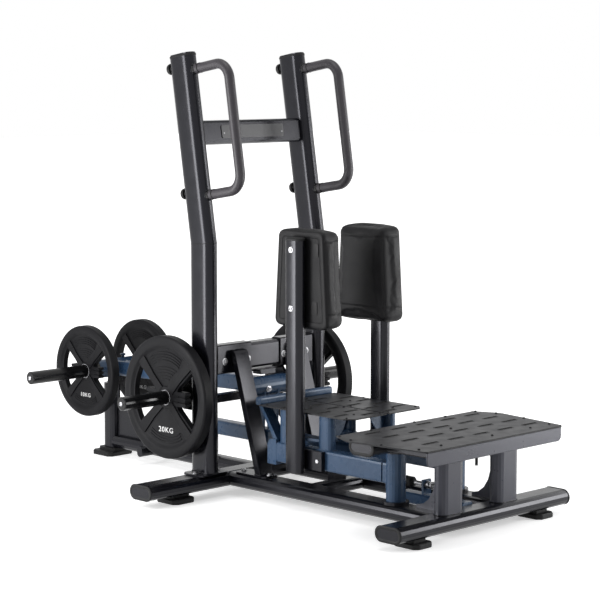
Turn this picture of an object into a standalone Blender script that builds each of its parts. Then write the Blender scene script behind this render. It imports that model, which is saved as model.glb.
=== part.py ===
import bpy
import bmesh
import math
from mathutils import Matrix, Vector

# Driving sizes, in metres. Y runs from the front step towards the weights.
GAP = 0.0003
SEG = 7
RUN_CLEARANCE = 0.0006

TUBE_D = 0.114
TUBE_T = 0.053
RAIL_T = 0.050
BAR_Z = 0.056
FRONT_Y = -0.626
REAR_Y = 0.431
FRONT_HALF = 0.436
REAR_HALF = 0.585
CAP_T = 0.004
RAIL_X = 0.153
CROSS_Y = 0.030
CROSS_D = 0.080
CROSS_T = 0.044

FOOT_L = 0.090
FOOT_W = 0.114
FRONT_FOOT_X = 0.315
REAR_FOOT_X = 0.420
TAIL_Y = 1.300
TAIL_D = 0.075
TAIL_T = 0.050
TAIL_TOP = 0.290
PEG_Y = 1.025
PEG_H = 0.043
PEG_T = 0.030
PEG_OUT = 0.090

UPRIGHT_X = 0.274
UPRIGHT_Y = 0.4345
BEND_Z = 0.923
LEAN = math.radians(9.15)
UPRIGHT_TOP = 1.601
FOOT_PLATE_T = 0.006
UPPER_BAR_Z = 1.316
UPPER_BAR_H = 0.087
UPPER_BAR_T = 0.045
UPPER_BAR_OUT = 0.007
LOWER_BAR_Z = 0.4985
LOWER_BAR_H = 0.095
LOWER_BAR_T = 0.060
PLACARD_HALF = 0.155
PLACARD_H = 0.048
PLACARD_T = 0.0025

BRACE_X = 0.148
BRACE_W = 0.066
BRACE_T = 0.026
BRACE_FOOT_Y = 0.255
SADDLE_IN = 0.075
SADDLE_OUT = 0.240
SADDLE_T = 0.006

GRIP_OUT = 0.232
GRIP_R = 0.018
GRIP_BEND = 0.060
JOINT_TOP_Z = 1.547
JOINT_LOW_Z = 1.099

STEP_TOP = 0.328
STEP_T = 0.005
STEP_FRONT = -0.714
STEP_BACK = -0.310
APRON_H = 0.048
APRON_T = 0.006
APRON_HALF = 0.345
APRON_R = 0.018
STEP_POST_X = 0.142
SLOT_W = 0.009
SLOT_L = 0.070
STEP_HALF = 0.390
STEP_WIDEST_Y = -0.400
STEP_REAR_HALF = 0.324
STRINGER_X = 0.235
STRINGER_H = 0.034
STRINGER_W = 0.044
SLOT_PITCH = 0.128
SLOT_CENTRE = 0.032
STEP_SLOT_ROWS = (-0.358, -0.441, -0.528, -0.618)
GUSSET_OUT = 0.112
GUSSET_WAIST = 0.028

PIVOT_Y = -0.400
HUB_R = 0.034
HUB_LOW = 0.092
HUB_TOP = 0.257
SHAFT_R = 0.0165
BASE_R = 0.046
ARM_W = 0.054
ARM_H = 0.072
ARM_Z = 0.186
ARM_END = 0.160
BOX_END = 0.203
BOX_H = 0.092

TREAD_TOP = 0.350
TREAD_T = 0.004
TREAD_IN = 0.005
TREAD_OUT = 0.1945
TREAD_FRONT = -0.219
TREAD_BACK = 0.234
STEM_D = 0.066
STEM_T = 0.040
STEM_FRONT_Y = -0.072
STEM_REAR_Y = 0.123
TOE_H = 0.030
TOE_T = 0.028
TOE_RISE = 0.0095
TREAD_SLOT_L = 0.062
TOE_OUT = 0.184
STEM_GUSSET_OUT = 0.083

PAD_POST_X = 0.216
PAD_POST_Y = 0.023
PAD_POST_D = 0.080
PAD_POST_T = 0.040
PAD_POST_LOW = 0.138
PAD_POST_TOP = 0.957
PAD_Y = 0.020
PAD_LOW = 0.655
PAD_TOP = 0.990
PAD_W_TOP = 0.215
PAD_W_LOW = 0.250
PAD_T = 0.0835
PAD_BOARD_T = 0.012
PAD_BACK = 0.182
BRACKET_FRONT = -0.087
BRACKET_T = 0.012
PAD_BOLT_Z = (0.735, 0.905)
PAD_AROUND = 40
PAD_SQUARE = 0.30
PAD_DRAW = 0.003
# Depth as a share of the pad's thickness, inset in metres, and how far the ring shrinks to the middle.
PAD_SECTIONS = (
    (0.00, 0.010, 1.0), (0.08, 0.002, 1.0), (0.20, 0.000, 1.0), (0.62, 0.000, 1.0),
    (0.78, 0.006, 1.0), (0.86, 0.017, 1.0), (0.95, 0.018, 0.80), (1.00, 0.020, 0.45))

HORN_Y = 0.540
HORN_Z = 0.361
PLATE_R = 0.225
PLATE_T = 0.045
PLATE_IN = 0.335
BORE_R = 0.0260
SLEEVE_R = 0.025
HORN_OUT = 0.579
TIE_H = 0.030
TIE_T = 0.030
TIE_TOP = 0.344
COLLAR_R = 0.045
COLLAR_T = 0.012

LEVER_Y = 0.400
LEVER_Z = 0.382
LEVER_R = 0.0365
LEVER_HALF = 0.090
REAR_TUBE_Y = 1.276
REAR_TUBE_Z = 0.356
REAR_TUBE_HALF = 0.111
REAR_PLATE_R = 0.180
REAR_PLATE_T = 0.041
REAR_SLEEVE_OUT = 0.428
SMALL_PLATE_IN = REAR_TUBE_HALF + COLLAR_T + 3 * GAP
BEAM_W = 0.050
BEAM_H = 0.060
STUB_R = 0.0125
EAR_T = 0.012
ROLLER_Z = 0.135
ROLLER_R = 0.012
CHEEK_IN = 0.030
CHEEK_T = 0.008

SLIDER_Z = 0.1935
SLIDER_H = 0.055
SLIDER_W = 0.050
SLIDER_FRONT = -0.252
SLIDER_BACK = 0.760
LINK_IN_X = 0.030
LINK_IN_Y = -0.220
LINK_OUT_X = 0.113
LINK_OUT_Y = 0.170
LINK_W = 0.024
LINK_T = 0.010
LUG_TOP = SLIDER_Z + SLIDER_H / 2 + 0.006
HEAD_TOP = SLIDER_Z + SLIDER_H / 2 + 0.005
LINK_LOW = LUG_TOP + 0.0015
EYE_R = 0.024
EYE_BORE = 0.017
NOSE_T = 0.010
NOSE_LOW = 0.096
GUIDE_Y = 0.715
STOP_Z = 0.125
STOP_R = 0.0068
STOP_PLATE_Y = -0.401
CARRIER_BACK = -0.300

# The machine is centred between its front edge and the rear weights.
Y_SHIFT = (STEP_FRONT + REAR_TUBE_Y + REAR_PLATE_R) / 2

for old in list(bpy.data.objects):
    bpy.data.objects.remove(old, do_unlink=True)

machine = bpy.data.collections.new("standing_hip_abductor")
cutters = bpy.data.collections.new("cutters")
bpy.context.scene.collection.children.link(machine)
bpy.context.scene.collection.children.link(cutters)

# Base colour, metallic value and roughness of each finish.
FINISHES = {
    "black": ((0.020, 0.021, 0.024), 0.2, 0.38),
    "blue": ((0.060, 0.105, 0.180), 0.3, 0.40),
    "rubber": ((0.012, 0.012, 0.012), 0.0, 0.75),
    "tread": ((0.030, 0.031, 0.033), 0.3, 0.50),
    "chrome": ((0.80, 0.80, 0.82), 1.0, 0.15),
    "grip": ((0.030, 0.028, 0.030), 0.0, 0.65),
    "plate": ((0.022, 0.023, 0.024), 0.0, 0.60),
    "leather": ((0.012, 0.012, 0.013), 0.0, 0.55),
    "board": ((0.015, 0.015, 0.015), 0.0, 0.60),
}

# How far welded shapes run into each other before they are joined.
BITE = 0.0015

AXES = {
    "X": (Vector((0, 1, 0)), Vector((0, 0, 1)), Vector((1, 0, 0))),
    "Y": (Vector((1, 0, 0)), Vector((0, 0, 1)), Vector((0, 1, 0))),
    "Z": (Vector((1, 0, 0)), Vector((0, 1, 0)), Vector((0, 0, 1))),
}
SIDES = (("left", -1), ("right", 1))


def finish(name, look):
    colour, metallic, roughness = FINISHES[look]
    mat = bpy.data.materials.new(name + "_finish")
    mat.use_nodes = True
    shader = mat.node_tree.nodes["Principled BSDF"]
    shader.inputs["Base Color"].default_value = (*colour, 1)
    shader.inputs["Metallic"].default_value = metallic
    shader.inputs["Roughness"].default_value = roughness
    mat.diffuse_color = (*colour, 1)
    return mat


def to_object(name, bm, origin, collection):
    """Makes an object of a bmesh drawn in place, with the object's origin at the given point."""
    bmesh.ops.remove_doubles(bm, verts=bm.verts, dist=1e-6)
    bmesh.ops.recalc_face_normals(bm, faces=bm.faces)
    bmesh.ops.translate(bm, verts=bm.verts, vec=-Vector(origin))
    mesh = bpy.data.meshes.new(name)
    bm.to_mesh(mesh)
    bm.free()
    mesh.set_sharp_from_angle(angle=math.radians(35))
    obj = bpy.data.objects.new(name, mesh)
    obj.location = Vector(origin) - Vector((0, Y_SHIFT, 0))
    collection.objects.link(obj)
    return obj


def part(name, bm, look, origin=(0, 0, 0)):
    obj = to_object(name, bm, origin, machine)
    obj.data.materials.append(finish(name, look))
    return obj


def boolean(obj, bm, operation):
    count = len([m for m in obj.modifiers if m.type == "BOOLEAN"])
    tool = to_object(f"{obj.name}_{operation.lower()}_{count}", bm, (0, 0, 0), cutters)
    tool.hide_render = True
    tool.display_type = "WIRE"
    mod = obj.modifiers.new(tool.name, "BOOLEAN")
    mod.operation = operation
    mod.solver = "EXACT"
    mod.object = tool


def cut(obj, bm):
    boolean(obj, bm, "DIFFERENCE")


def weld(obj, bm):
    boolean(obj, bm, "UNION")


def bevel(obj, width, segments=1):
    mod = obj.modifiers.new("edges", "BEVEL")
    mod.width = width
    mod.segments = segments
    mod.limit_method = "ANGLE"
    mod.angle_limit = math.radians(40)


def arc(centre, radius, start, end, steps):
    """Points on a circle's arc, angles in degrees."""
    pts = []
    for i in range(steps + 1):
        t = math.radians(start + (end - start) * i / steps)
        pts.append((centre[0] + radius * math.cos(t), centre[1] + radius * math.sin(t)))
    return pts


def oval(width, height, centre=(0, 0), grow=0.0):
    """Outline of a flat-sided oval tube, its round sides at the ends of the longer way."""
    width = width + 2 * grow
    height = height + 2 * grow
    r = min(width, height) / 2
    dx = width / 2 - r
    dy = height / 2 - r
    if width >= height:
        ends = ((dx, 0, -90), (-dx, 0, 90))
    else:
        ends = ((0, dy, 0), (0, -dy, 180))
    pts = []
    for ox, oy, start in ends:
        pts += arc((centre[0] + ox, centre[1] + oy), r, start, start + 180, SEG)
    return pts


def soft_rect(width, height, r, centre=(0, 0), steps=2):
    """Outline of a rectangle with rounded corners."""
    pts = []
    for sx, sy, start in ((1, 1, 0), (-1, 1, 90), (-1, -1, 180), (1, -1, 270)):
        corner = (centre[0] + sx * (width / 2 - r), centre[1] + sy * (height / 2 - r))
        pts += arc(corner, r, start, start + 90, steps)
    return pts


def octagon(x, y, length, width, chamfer):
    a = length / 2
    b = width / 2
    c = chamfer
    return [
        (x - a + c, y - b), (x + a - c, y - b), (x + a, y - b + c), (x + a, y + b - c),
        (x + a - c, y + b), (x - a + c, y + b), (x - a, y + b - c), (x - a, y - b + c)]


def prism(outline, axis, lo, hi, centre=(0, 0, 0)):
    """Flat outline extruded along an axis from lo to hi."""
    da, db, dn = AXES[axis]
    lo, hi = sorted((lo, hi))
    bm = bmesh.new()
    base = Vector(centre)
    face = bm.faces.new([bm.verts.new(base + da * a + db * b + dn * lo) for a, b in outline])
    grown = bmesh.ops.extrude_face_region(bm, geom=[face])
    moved = [v for v in grown["geom"] if isinstance(v, bmesh.types.BMVert)]
    bmesh.ops.translate(bm, verts=moved, vec=dn * (hi - lo))
    return bm


def box(x0, x1, y0, y1, z0, z1):
    x0, x1 = sorted((x0, x1))
    return prism([(x0, y0), (x1, y0), (x1, y1), (x0, y1)], "Z", z0, z1)


def turned(profile, axis, centre, steps=20):
    """Solid of revolution: (radius, run) points spun about an axis through centre."""
    da, _, dn = AXES[axis]
    centre = Vector(centre)
    bm = bmesh.new()
    verts = [bm.verts.new(centre + da * r + dn * h) for r, h in profile]
    pairs = list(zip(verts, verts[1:]))
    if min(r for r, h in profile) > 1e-6:
        pairs.append((verts[-1], verts[0]))
    edges = [bm.edges.new(pair) for pair in pairs]
    bmesh.ops.spin(
        bm, geom=verts + edges, cent=centre, axis=dn, dvec=(0, 0, 0),
        angle=2 * math.pi, steps=steps, use_merge=True, use_duplicate=False)
    bmesh.ops.remove_doubles(bm, verts=bm.verts, dist=1e-6)
    return bm


def rod(radius, axis, centre, lo, hi, steps=16):
    lo, hi = sorted((lo, hi))
    return turned([(0, lo), (radius, lo), (radius, hi), (0, hi)], axis, centre, steps)


def move(bm, matrix):
    bmesh.ops.transform(bm, verts=bm.verts, matrix=matrix)
    return bm


# The uprights lean back by LEAN above BEND; along runs up them and out runs towards the user.
LEAN_UP = Vector((0, math.sin(LEAN), math.cos(LEAN)))
LEAN_OUT = Vector((0, -math.cos(LEAN), math.sin(LEAN)))
BEND = Vector((0, UPRIGHT_Y, BEND_Z))
LEAN_LENGTH = (UPRIGHT_TOP - BEND_Z) / math.cos(LEAN)
BAR_TOP = BAR_Z + TUBE_T / 2
RAIL_TOP = BAR_Z + RAIL_T / 2
FLAT = (TUBE_D - TUBE_T) / 2


def on_lean(x, along, out):
    return Vector((x, 0, 0)) + BEND + LEAN_UP * along + LEAN_OUT * out


def along_for_z(z, out):
    return (z - BEND_Z - out * math.sin(LEAN)) / math.cos(LEAN)


def upright_shape(x, grow=0.0):
    return prism(oval(TUBE_T, TUBE_D, (x, UPRIGHT_Y), grow), "Z", BAR_TOP, BEND_Z)


def crossbar_shape(y, grow=0.0):
    return prism(oval(TUBE_D, TUBE_T, (y, BAR_Z), grow), "X", -REAR_HALF - 0.01, REAR_HALF + 0.01)


def floor_frame():
    for name, y, reach in (("front_crossbar", FRONT_Y, FRONT_HALF), ("rear_crossbar", REAR_Y, REAR_HALF)):
        obj = part(name, prism(oval(TUBE_D, TUBE_T, (y, BAR_Z)), "X", -reach + CAP_T, reach - CAP_T), "black")
        weld(obj, prism(oval(TUBE_D, TUBE_T, (y, BAR_Z), -0.0015), "X", -reach, reach))
    for side, s in SIDES:
        rail = part(
            side + "_side_rail",
            prism(oval(TUBE_D, RAIL_T, (s * RAIL_X, BAR_Z)), "Y", FRONT_Y, REAR_Y), "black")
        cut(rail, crossbar_shape(FRONT_Y, GAP))
        cut(rail, crossbar_shape(REAR_Y, GAP))
    cross = part(
        "base_cross_tube", prism(oval(CROSS_D, CROSS_T, (CROSS_Y, BAR_Z)), "X", -RAIL_X, RAIL_X), "black")
    for s in (-1, 1):
        cut(cross, prism(oval(TUBE_D, RAIL_T, (s * RAIL_X, BAR_Z), GAP), "Y", FRONT_Y, REAR_Y))


def rear_frame():
    post_face = TAIL_Y - TAIL_D / 2 - GAP
    beam = part("rear_beam", prism(oval(TAIL_D, RAIL_T, (0, BAR_Z)), "Y", REAR_Y, post_face), "black")
    cut(beam, crossbar_shape(REAR_Y, GAP))
    weld(beam, prism(oval(PEG_T, PEG_H, (PEG_Y, BAR_Z)), "X", -PEG_OUT, PEG_OUT))
    low = RAIL_TOP - BITE
    high = RAIL_TOP + 0.130
    toe = post_face - 0.165
    web = [(post_face - 0.0005, low), (post_face - 0.0005, high), (post_face - 0.020, high)]
    web += [
        (post_face - 0.022 - 0.130 * math.sin(math.radians(15 * i)),
         high - 0.118 * (1 - math.cos(math.radians(15 * i))) - 0.004)
        for i in range(7)]
    web.append((toe, low))
    weld(beam, prism(web, "X", -0.003, 0.003))
    part(
        "rear_post",
        prism(oval(TAIL_T, TAIL_D), "Z", BAR_Z - TUBE_T / 2, TAIL_TOP, (0, TAIL_Y, 0)), "black")


def rubber_foot(name, x, y, length, width, seat_length, seat_width):
    """Chamfered block with a narrower seat under the tube's flat."""
    height = 0.018
    block = part(name, prism(octagon(x, y, length, width, 0.016), "Z", 0, height), "rubber")
    bevel(block, 0.003)
    top = BAR_Z - TUBE_T / 2 - GAP
    weld(block, prism(octagon(x, y, seat_length, seat_width, 0.008), "Z", height - BITE, top))


def rubber_feet():
    for side, s in SIDES:
        rubber_foot(side + "_front_foot", s * FRONT_FOOT_X, FRONT_Y, FOOT_L, FOOT_W, FOOT_L - 0.018, 2 * FLAT)
        rubber_foot(side + "_rear_foot", s * REAR_FOOT_X, REAR_Y, FOOT_L + 0.015, FOOT_W, FOOT_L, 2 * FLAT)
    rubber_foot("tail_foot", 0, TAIL_Y, 0.130, 0.120, 0.070, 0.095)


def upright(side, s):
    """Tube bent back at BEND, standing on its flange plate."""
    x = s * UPRIGHT_X
    outline = oval(TUBE_T, TUBE_D)
    low = BAR_TOP + GAP + FOOT_PLATE_T - BITE
    stations = [
        [Vector((x + a, UPRIGHT_Y + b, low)) for a, b in outline],
        [Vector((x + a, UPRIGHT_Y + b, BEND_Z - b * math.tan(LEAN / 2))) for a, b in outline],
        [on_lean(x + a, LEAN_LENGTH - CAP_T, -b) for a, b in outline],
    ]
    bm = bmesh.new()
    face = bm.faces.new([bm.verts.new(p) for p in stations[0]])
    for level, station in enumerate(stations[1:]):
        grown = bmesh.ops.extrude_face_region(bm, geom=[face])
        if level:
            bmesh.ops.delete(bm, geom=[face], context="FACES_ONLY")
        face = next(g for g in grown["geom"] if isinstance(g, bmesh.types.BMFace))
        for vert, point in zip(face.verts, station):
            vert.co = point
    obj = part(side + "_upright", bm, "black")
    plate = octagon(x, REAR_Y, 0.140, 0.104, 0.012)
    weld(obj, prism(plate, "Z", BAR_TOP + GAP, BAR_TOP + GAP + FOOT_PLATE_T))
    cap = prism(oval(TUBE_T, TUBE_D, (0, 0), -0.0015), "Z", LEAN_LENGTH - CAP_T - BITE, LEAN_LENGTH)
    turn = Matrix.Rotation(-LEAN, 4, "X")
    weld(obj, move(cap, Matrix.Translation(BEND + Vector((x, 0, 0))) @ turn))


def upper_crossbar():
    between = UPRIGHT_X - TUBE_T / 2 - GAP
    middle = on_lean(0, along_for_z(UPPER_BAR_Z, 0), UPPER_BAR_OUT)
    stance = Matrix.Translation(middle) @ Matrix.Rotation(-LEAN, 4, "X")
    bar = prism(soft_rect(UPPER_BAR_T, UPPER_BAR_H, 0.010), "X", -between, between)
    part("upper_crossbar", move(bar, stance), "black")
    face = -UPPER_BAR_T / 2 - GAP
    sign = prism(soft_rect(2 * PLACARD_HALF, PLACARD_H, 0.006), "Y", face - PLACARD_T, face)
    part("placard", move(sign, stance), "tread")


def lower_crossbar():
    """Bar between the uprights, with the channels that carry the braces."""
    between = UPRIGHT_X - TUBE_T / 2 - GAP
    bar = part(
        "lower_crossbar",
        prism(soft_rect(LOWER_BAR_T, LOWER_BAR_H, 0.010, (UPRIGHT_Y, LOWER_BAR_Z)), "X", -between, between),
        "black")
    front = UPRIGHT_Y - LOWER_BAR_T / 2 - SADDLE_T
    depth = LOWER_BAR_T * 0.8
    channel = soft_rect(depth, LOWER_BAR_H + 2 * SADDLE_T, 0.004, (front + depth / 2, LOWER_BAR_Z), 1)
    for s in (-1, 1):
        weld(bar, prism(channel, "X", s * SADDLE_IN, s * SADDLE_OUT))


def brace(side, s):
    """Slanted flat tube from the side rail to the lower crossbar, on a bolted foot."""
    x = s * BRACE_X
    foot = RAIL_TOP + GAP
    low = foot + FOOT_PLATE_T - BITE
    back = UPRIGHT_Y - LOWER_BAR_T / 2 - SADDLE_T - GAP
    top = LOWER_BAR_Z + 0.032
    tilt = math.atan2(back - BRACE_T / 2 - BRACE_FOOT_Y, top - low)
    across = BRACE_T / math.cos(tilt)
    knee = low + (back - BRACE_FOOT_Y - across / 2) / math.tan(tilt)
    outline = [
        (BRACE_FOOT_Y - across / 2, low), (BRACE_FOOT_Y + across / 2, low), (back, knee), (back, top),
        (back - BRACE_T * 0.8, top - 0.004), (back - across, knee - 0.010)]
    obj = part(side + "_brace", prism(outline, "X", x - BRACE_W / 2, x + BRACE_W / 2), "black")
    bevel(obj, 0.004)
    plate = octagon(s * RAIL_X, BRACE_FOOT_Y + 0.035, 0.076, 0.160, 0.012)
    weld(obj, prism(plate, "Z", foot, foot + FOOT_PLATE_T))


def handle(side, s):
    """Round bar bent twice, square to the leaning upright at both ends."""
    start = TUBE_D / 2 + GAP
    low = along_for_z(JOINT_LOW_Z, start)
    high = along_for_z(JOINT_TOP_Z, start)
    reach = GRIP_OUT - GRIP_BEND
    path = [(low, start)]
    path += arc((low + GRIP_BEND, reach), GRIP_BEND, 180, 90, 6)
    path += arc((high - GRIP_BEND, reach), GRIP_BEND, 90, 0, 6)
    path.append((high, start))
    curve = bpy.data.curves.new(side + "_handle_path", "CURVE")
    curve.dimensions = "3D"
    curve.bevel_depth = GRIP_R
    curve.bevel_resolution = 2
    curve.use_fill_caps = True
    spline = curve.splines.new("POLY")
    spline.points.add(len(path) - 1)
    for point, (along, out) in zip(spline.points, path):
        point.co = (*(on_lean(s * UPRIGHT_X, along, out) - Vector((0, Y_SHIFT, 0))), 1)
    bar = bpy.data.objects.new(side + "_handle", curve)
    machine.objects.link(bar)
    curve.materials.append(finish(side + "_handle", "grip"))


def step():
    """Platform at the front: tread on a frame, two posts with gussets."""
    under = STEP_TOP - STEP_T - GAP
    low = under - APRON_H
    mid = under - APRON_H / 2
    outline = [(APRON_HALF, under), (-APRON_HALF, under)]
    outline += arc((APRON_R - APRON_HALF, low + APRON_R), APRON_R, 180, 270, 4)
    outline += arc((APRON_HALF - APRON_R, low + APRON_R), APRON_R, 270, 360, 4)
    frame = part("step_frame", prism(outline, "Y", STEP_FRONT, STEP_FRONT + APRON_T), "black")
    bevel(frame, 0.0015)
    for s in (-1, 1):
        weld(frame, prism(
            soft_rect(STRINGER_W, STRINGER_H, 0.005, (s * STRINGER_X, mid), 1),
            "Y", STEP_FRONT + APRON_T - BITE, PIVOT_Y))
    rear_z = under - TUBE_T / 2
    for reach, grow in ((STEP_REAR_HALF - CAP_T, 0.0), (STEP_REAR_HALF, -0.0015)):
        weld(frame, prism(oval(TUBE_D, TUBE_T, (PIVOT_Y, rear_z), grow), "X", -reach, reach))
    back = FRONT_Y + TUBE_T / 2
    for side, s in SIDES:
        x = s * STEP_POST_X
        column = prism(oval(TUBE_D, TUBE_T), "Z", BAR_TOP + GAP, under, (x, FRONT_Y, 0))
        post = part(side + "_step_post", column, "black")
        foot = RAIL_TOP + GAP
        tall = under - 0.001 - foot
        web = [
            (back - BITE, BAR_TOP + 0.006), (back + 0.004, BAR_TOP + GAP), (back + 0.014, BAR_TOP + GAP),
            (back + 0.017, foot), (back + GUSSET_OUT, foot)]
        web += [
            (back + GUSSET_OUT - (GUSSET_OUT - GUSSET_WAIST) * math.cos(math.radians(t)),
             foot + tall / 2 + (tall / 2 - 0.010) * math.sin(math.radians(t)))
            for t in range(-90, 91, 20)]
        web += [(back + GUSSET_OUT, foot + tall), (back - BITE, foot + tall)]
        weld(post, prism(web, "X", x - 0.003, x + 0.003))
    plan = [
        (0.345, STEP_FRONT), (0.352, STEP_FRONT + 0.008), (STEP_HALF, STEP_WIDEST_Y - 0.012),
        (STEP_HALF - 0.004, STEP_WIDEST_Y + 0.010), (0.348, STEP_BACK + 0.004), (0.338, STEP_BACK)]
    plan += [(-x, y) for x, y in reversed(plan)]
    tread = part("step_tread", prism(plan, "Z", STEP_TOP - STEP_T, STEP_TOP), "tread")
    for y in STEP_SLOT_ROWS:
        for column in range(-2, 3):
            x = column * SLOT_PITCH + SLOT_CENTRE
            cut(tread, prism(
                oval(SLOT_L, SLOT_W, (x, y)), "Z", STEP_TOP - STEP_T - 0.01, STEP_TOP + 0.01))


def pivot_shaft(side, s):
    """Fixed pin of a swing arm: base disc on the rail, pin, and the collar that keeps the hub on."""
    collar = HUB_TOP + GAP
    top = STEP_TOP - STEP_T - TUBE_T - 2 * GAP
    part(side + "_pivot_shaft", turned([
        (0, RAIL_TOP + GAP), (BASE_R, RAIL_TOP + GAP), (BASE_R, HUB_LOW - GAP), (SHAFT_R, HUB_LOW - GAP),
        (SHAFT_R, collar), (HUB_R + 0.003, collar), (HUB_R + 0.003, collar + 0.006),
        (HUB_R - 0.006, top), (0, top)], "Z", (s * RAIL_X, PIVOT_Y, 0)), "black")


def swing_arm(side, s):
    """Weldment that turns about the vertical pin: hub, arm, end box, stems, gussets and link lug."""
    x = s * RAIL_X
    hinge = (x, PIVOT_Y, ARM_Z)
    top = ARM_Z + ARM_H / 2
    stem_top = TREAD_TOP - TREAD_T - GAP
    obj = part(side + "_swing_arm", prism(
        soft_rect(ARM_W, ARM_H, 0.008, (x, ARM_Z)), "Y", PIVOT_Y, ARM_END), "blue", hinge)
    cut(obj, rod(HUB_R - 0.004, "Z", (x, PIVOT_Y, 0), 0.1, 0.3))
    seam = s * (RAIL_X + ARM_W / 2)
    cut(obj, box(
        seam - s * 0.006, seam + s * 0.006, PIVOT_Y + HUB_R + 0.004, PIVOT_Y + HUB_R + 0.010,
        ARM_Z - ARM_H / 2 + 0.004, top + 0.01))
    bore = SHAFT_R + RUN_CLEARANCE
    weld(obj, turned([
        (bore, HUB_LOW), (HUB_R, HUB_LOW), (HUB_R, HUB_TOP), (bore, HUB_TOP)], "Z", (x, PIVOT_Y, 0)))
    low = ARM_Z - BOX_H / 2
    high = ARM_Z + BOX_H / 2
    side_view = [(ARM_END - BITE, low), (BOX_END, low)]
    side_view += arc((BOX_END - 0.025, high - 0.025), 0.025, 0, 90, 4)
    side_view.append((ARM_END - BITE, high))
    weld(obj, prism(side_view, "X", x - ARM_W / 2 - 0.0005, x + ARM_W / 2 + 0.0005))
    for y in (STEM_FRONT_Y, STEM_REAR_Y):
        weld(obj, prism(oval(STEM_T, STEM_D), "Z", top - BITE, stem_top, (x, y, 0)))
    face = RAIL_X - STEM_T / 2
    drop = stem_top - top - 0.018
    for y in (STEM_FRONT_Y, STEM_REAR_Y):
        web = [(s * (face + BITE), stem_top - 0.001), (s * (face - STEM_GUSSET_OUT), stem_top - 0.001)]
        for i in range(1, 9):
            reach = 0.006 + (STEM_GUSSET_OUT - 0.017) * (1 - (i / 8) ** 2.5)
            web.append((s * (face - reach), stem_top - 0.001 - drop * i / 8))
        web.append((s * (face + BITE), stem_top - 0.001 - drop))
        weld(obj, prism(web, "Y", y - 0.003, y + 0.003))
    inner = s * (RAIL_X - ARM_W / 2 + BITE)
    weld(obj, box(s * (LINK_OUT_X - 0.014), inner, LINK_OUT_Y - 0.024, LINK_OUT_Y + 0.016, 0.170, LUG_TOP))
    weld(obj, turned([
        (0, LUG_TOP - BITE), (0.006, LUG_TOP - BITE), (0.006, LINK_LOW + LINK_T + GAP),
        (0.010, LINK_LOW + LINK_T + GAP), (0.010, LINK_LOW + LINK_T + 0.005),
        (0, LINK_LOW + LINK_T + 0.006)], "Z", (s * LINK_OUT_X, LINK_OUT_Y, 0), 12))


def foot_plate(side, s):
    """Slotted tread on the arm's stems, with the toe bar behind it."""
    hinge = (s * RAIL_X, PIVOT_Y, ARM_Z)
    plan = [
        (TREAD_IN, TREAD_FRONT), (TREAD_OUT - 0.028, TREAD_FRONT), (TREAD_OUT, TREAD_FRONT + 0.028),
        (TREAD_OUT, TREAD_BACK), (TREAD_IN, TREAD_BACK)]
    tread = part(
        side + "_foot_tread",
        prism([(s * a, b) for a, b in plan], "Z", TREAD_TOP - TREAD_T, TREAD_TOP), "tread", hinge)
    for row in range(5):
        for a in (TREAD_IN + 0.048, TREAD_OUT - 0.048):
            b = TREAD_BACK - 0.065 - row * 0.086 - (0.043 if a > 0.1 else 0)
            if b > TREAD_FRONT + 0.02:
                slot = oval(TREAD_SLOT_L, SLOT_W, (s * a, b))
                cut(tread, prism(slot, "Z", TREAD_TOP - TREAD_T - 0.01, TREAD_TOP + 0.01))
    y = TREAD_BACK + GAP + TOE_T / 2
    z = TREAD_TOP + TOE_RISE
    bar = part(
        side + "_toe_bar",
        prism(soft_rect(TOE_T, TOE_H, 0.009, (y, z), 3), "X", s * TREAD_IN, s * TOE_OUT), "blue", hinge)
    bevel(bar, 0.004, 2)
    high = ARM_Z + BOX_H / 2 + GAP
    strut = [
        (BOX_END - 0.045, high), (BOX_END - 0.025, high),
        (y + TOE_T / 2 - 0.008, z - TOE_H / 2 + 0.004), (y - TOE_T / 2 + 0.004, z - TOE_H / 2 + 0.004)]
    weld(bar, prism(strut, "X", s * RAIL_X - 0.022, s * RAIL_X + 0.022))


def pad_post(side, s):
    """Upright tube bolted to the arm's outer face, carrying the knee pad on two brackets."""
    hinge = (s * RAIL_X, PIVOT_Y, ARM_Z)
    obj = part(side + "_pad_post", prism(
        oval(PAD_POST_T, PAD_POST_D), "Z", PAD_POST_LOW, PAD_POST_TOP, (s * PAD_POST_X, PAD_POST_Y, 0)),
        "black", hinge)
    near = s * (RAIL_X + ARM_W / 2 + GAP)
    far = s * (PAD_POST_X - PAD_POST_T / 2 + BITE)
    weld(obj, box(
        near, far, BRACKET_FRONT, PAD_POST_Y + 0.036, ARM_Z - ARM_H / 2 + 0.002, ARM_Z + ARM_H / 2 - 0.002))
    for z in PAD_BOLT_Z:
        weld(obj, box(
            s * (PAD_BACK + PAD_BOARD_T + GAP), far,
            PAD_POST_Y - 0.024, PAD_POST_Y + 0.024, z - 0.035, z + 0.035))


def pad_half_width(z):
    share = (z - PAD_LOW) / (PAD_TOP - PAD_LOW)
    return (PAD_W_LOW + (PAD_W_TOP - PAD_W_LOW) * share) / 2


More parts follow.
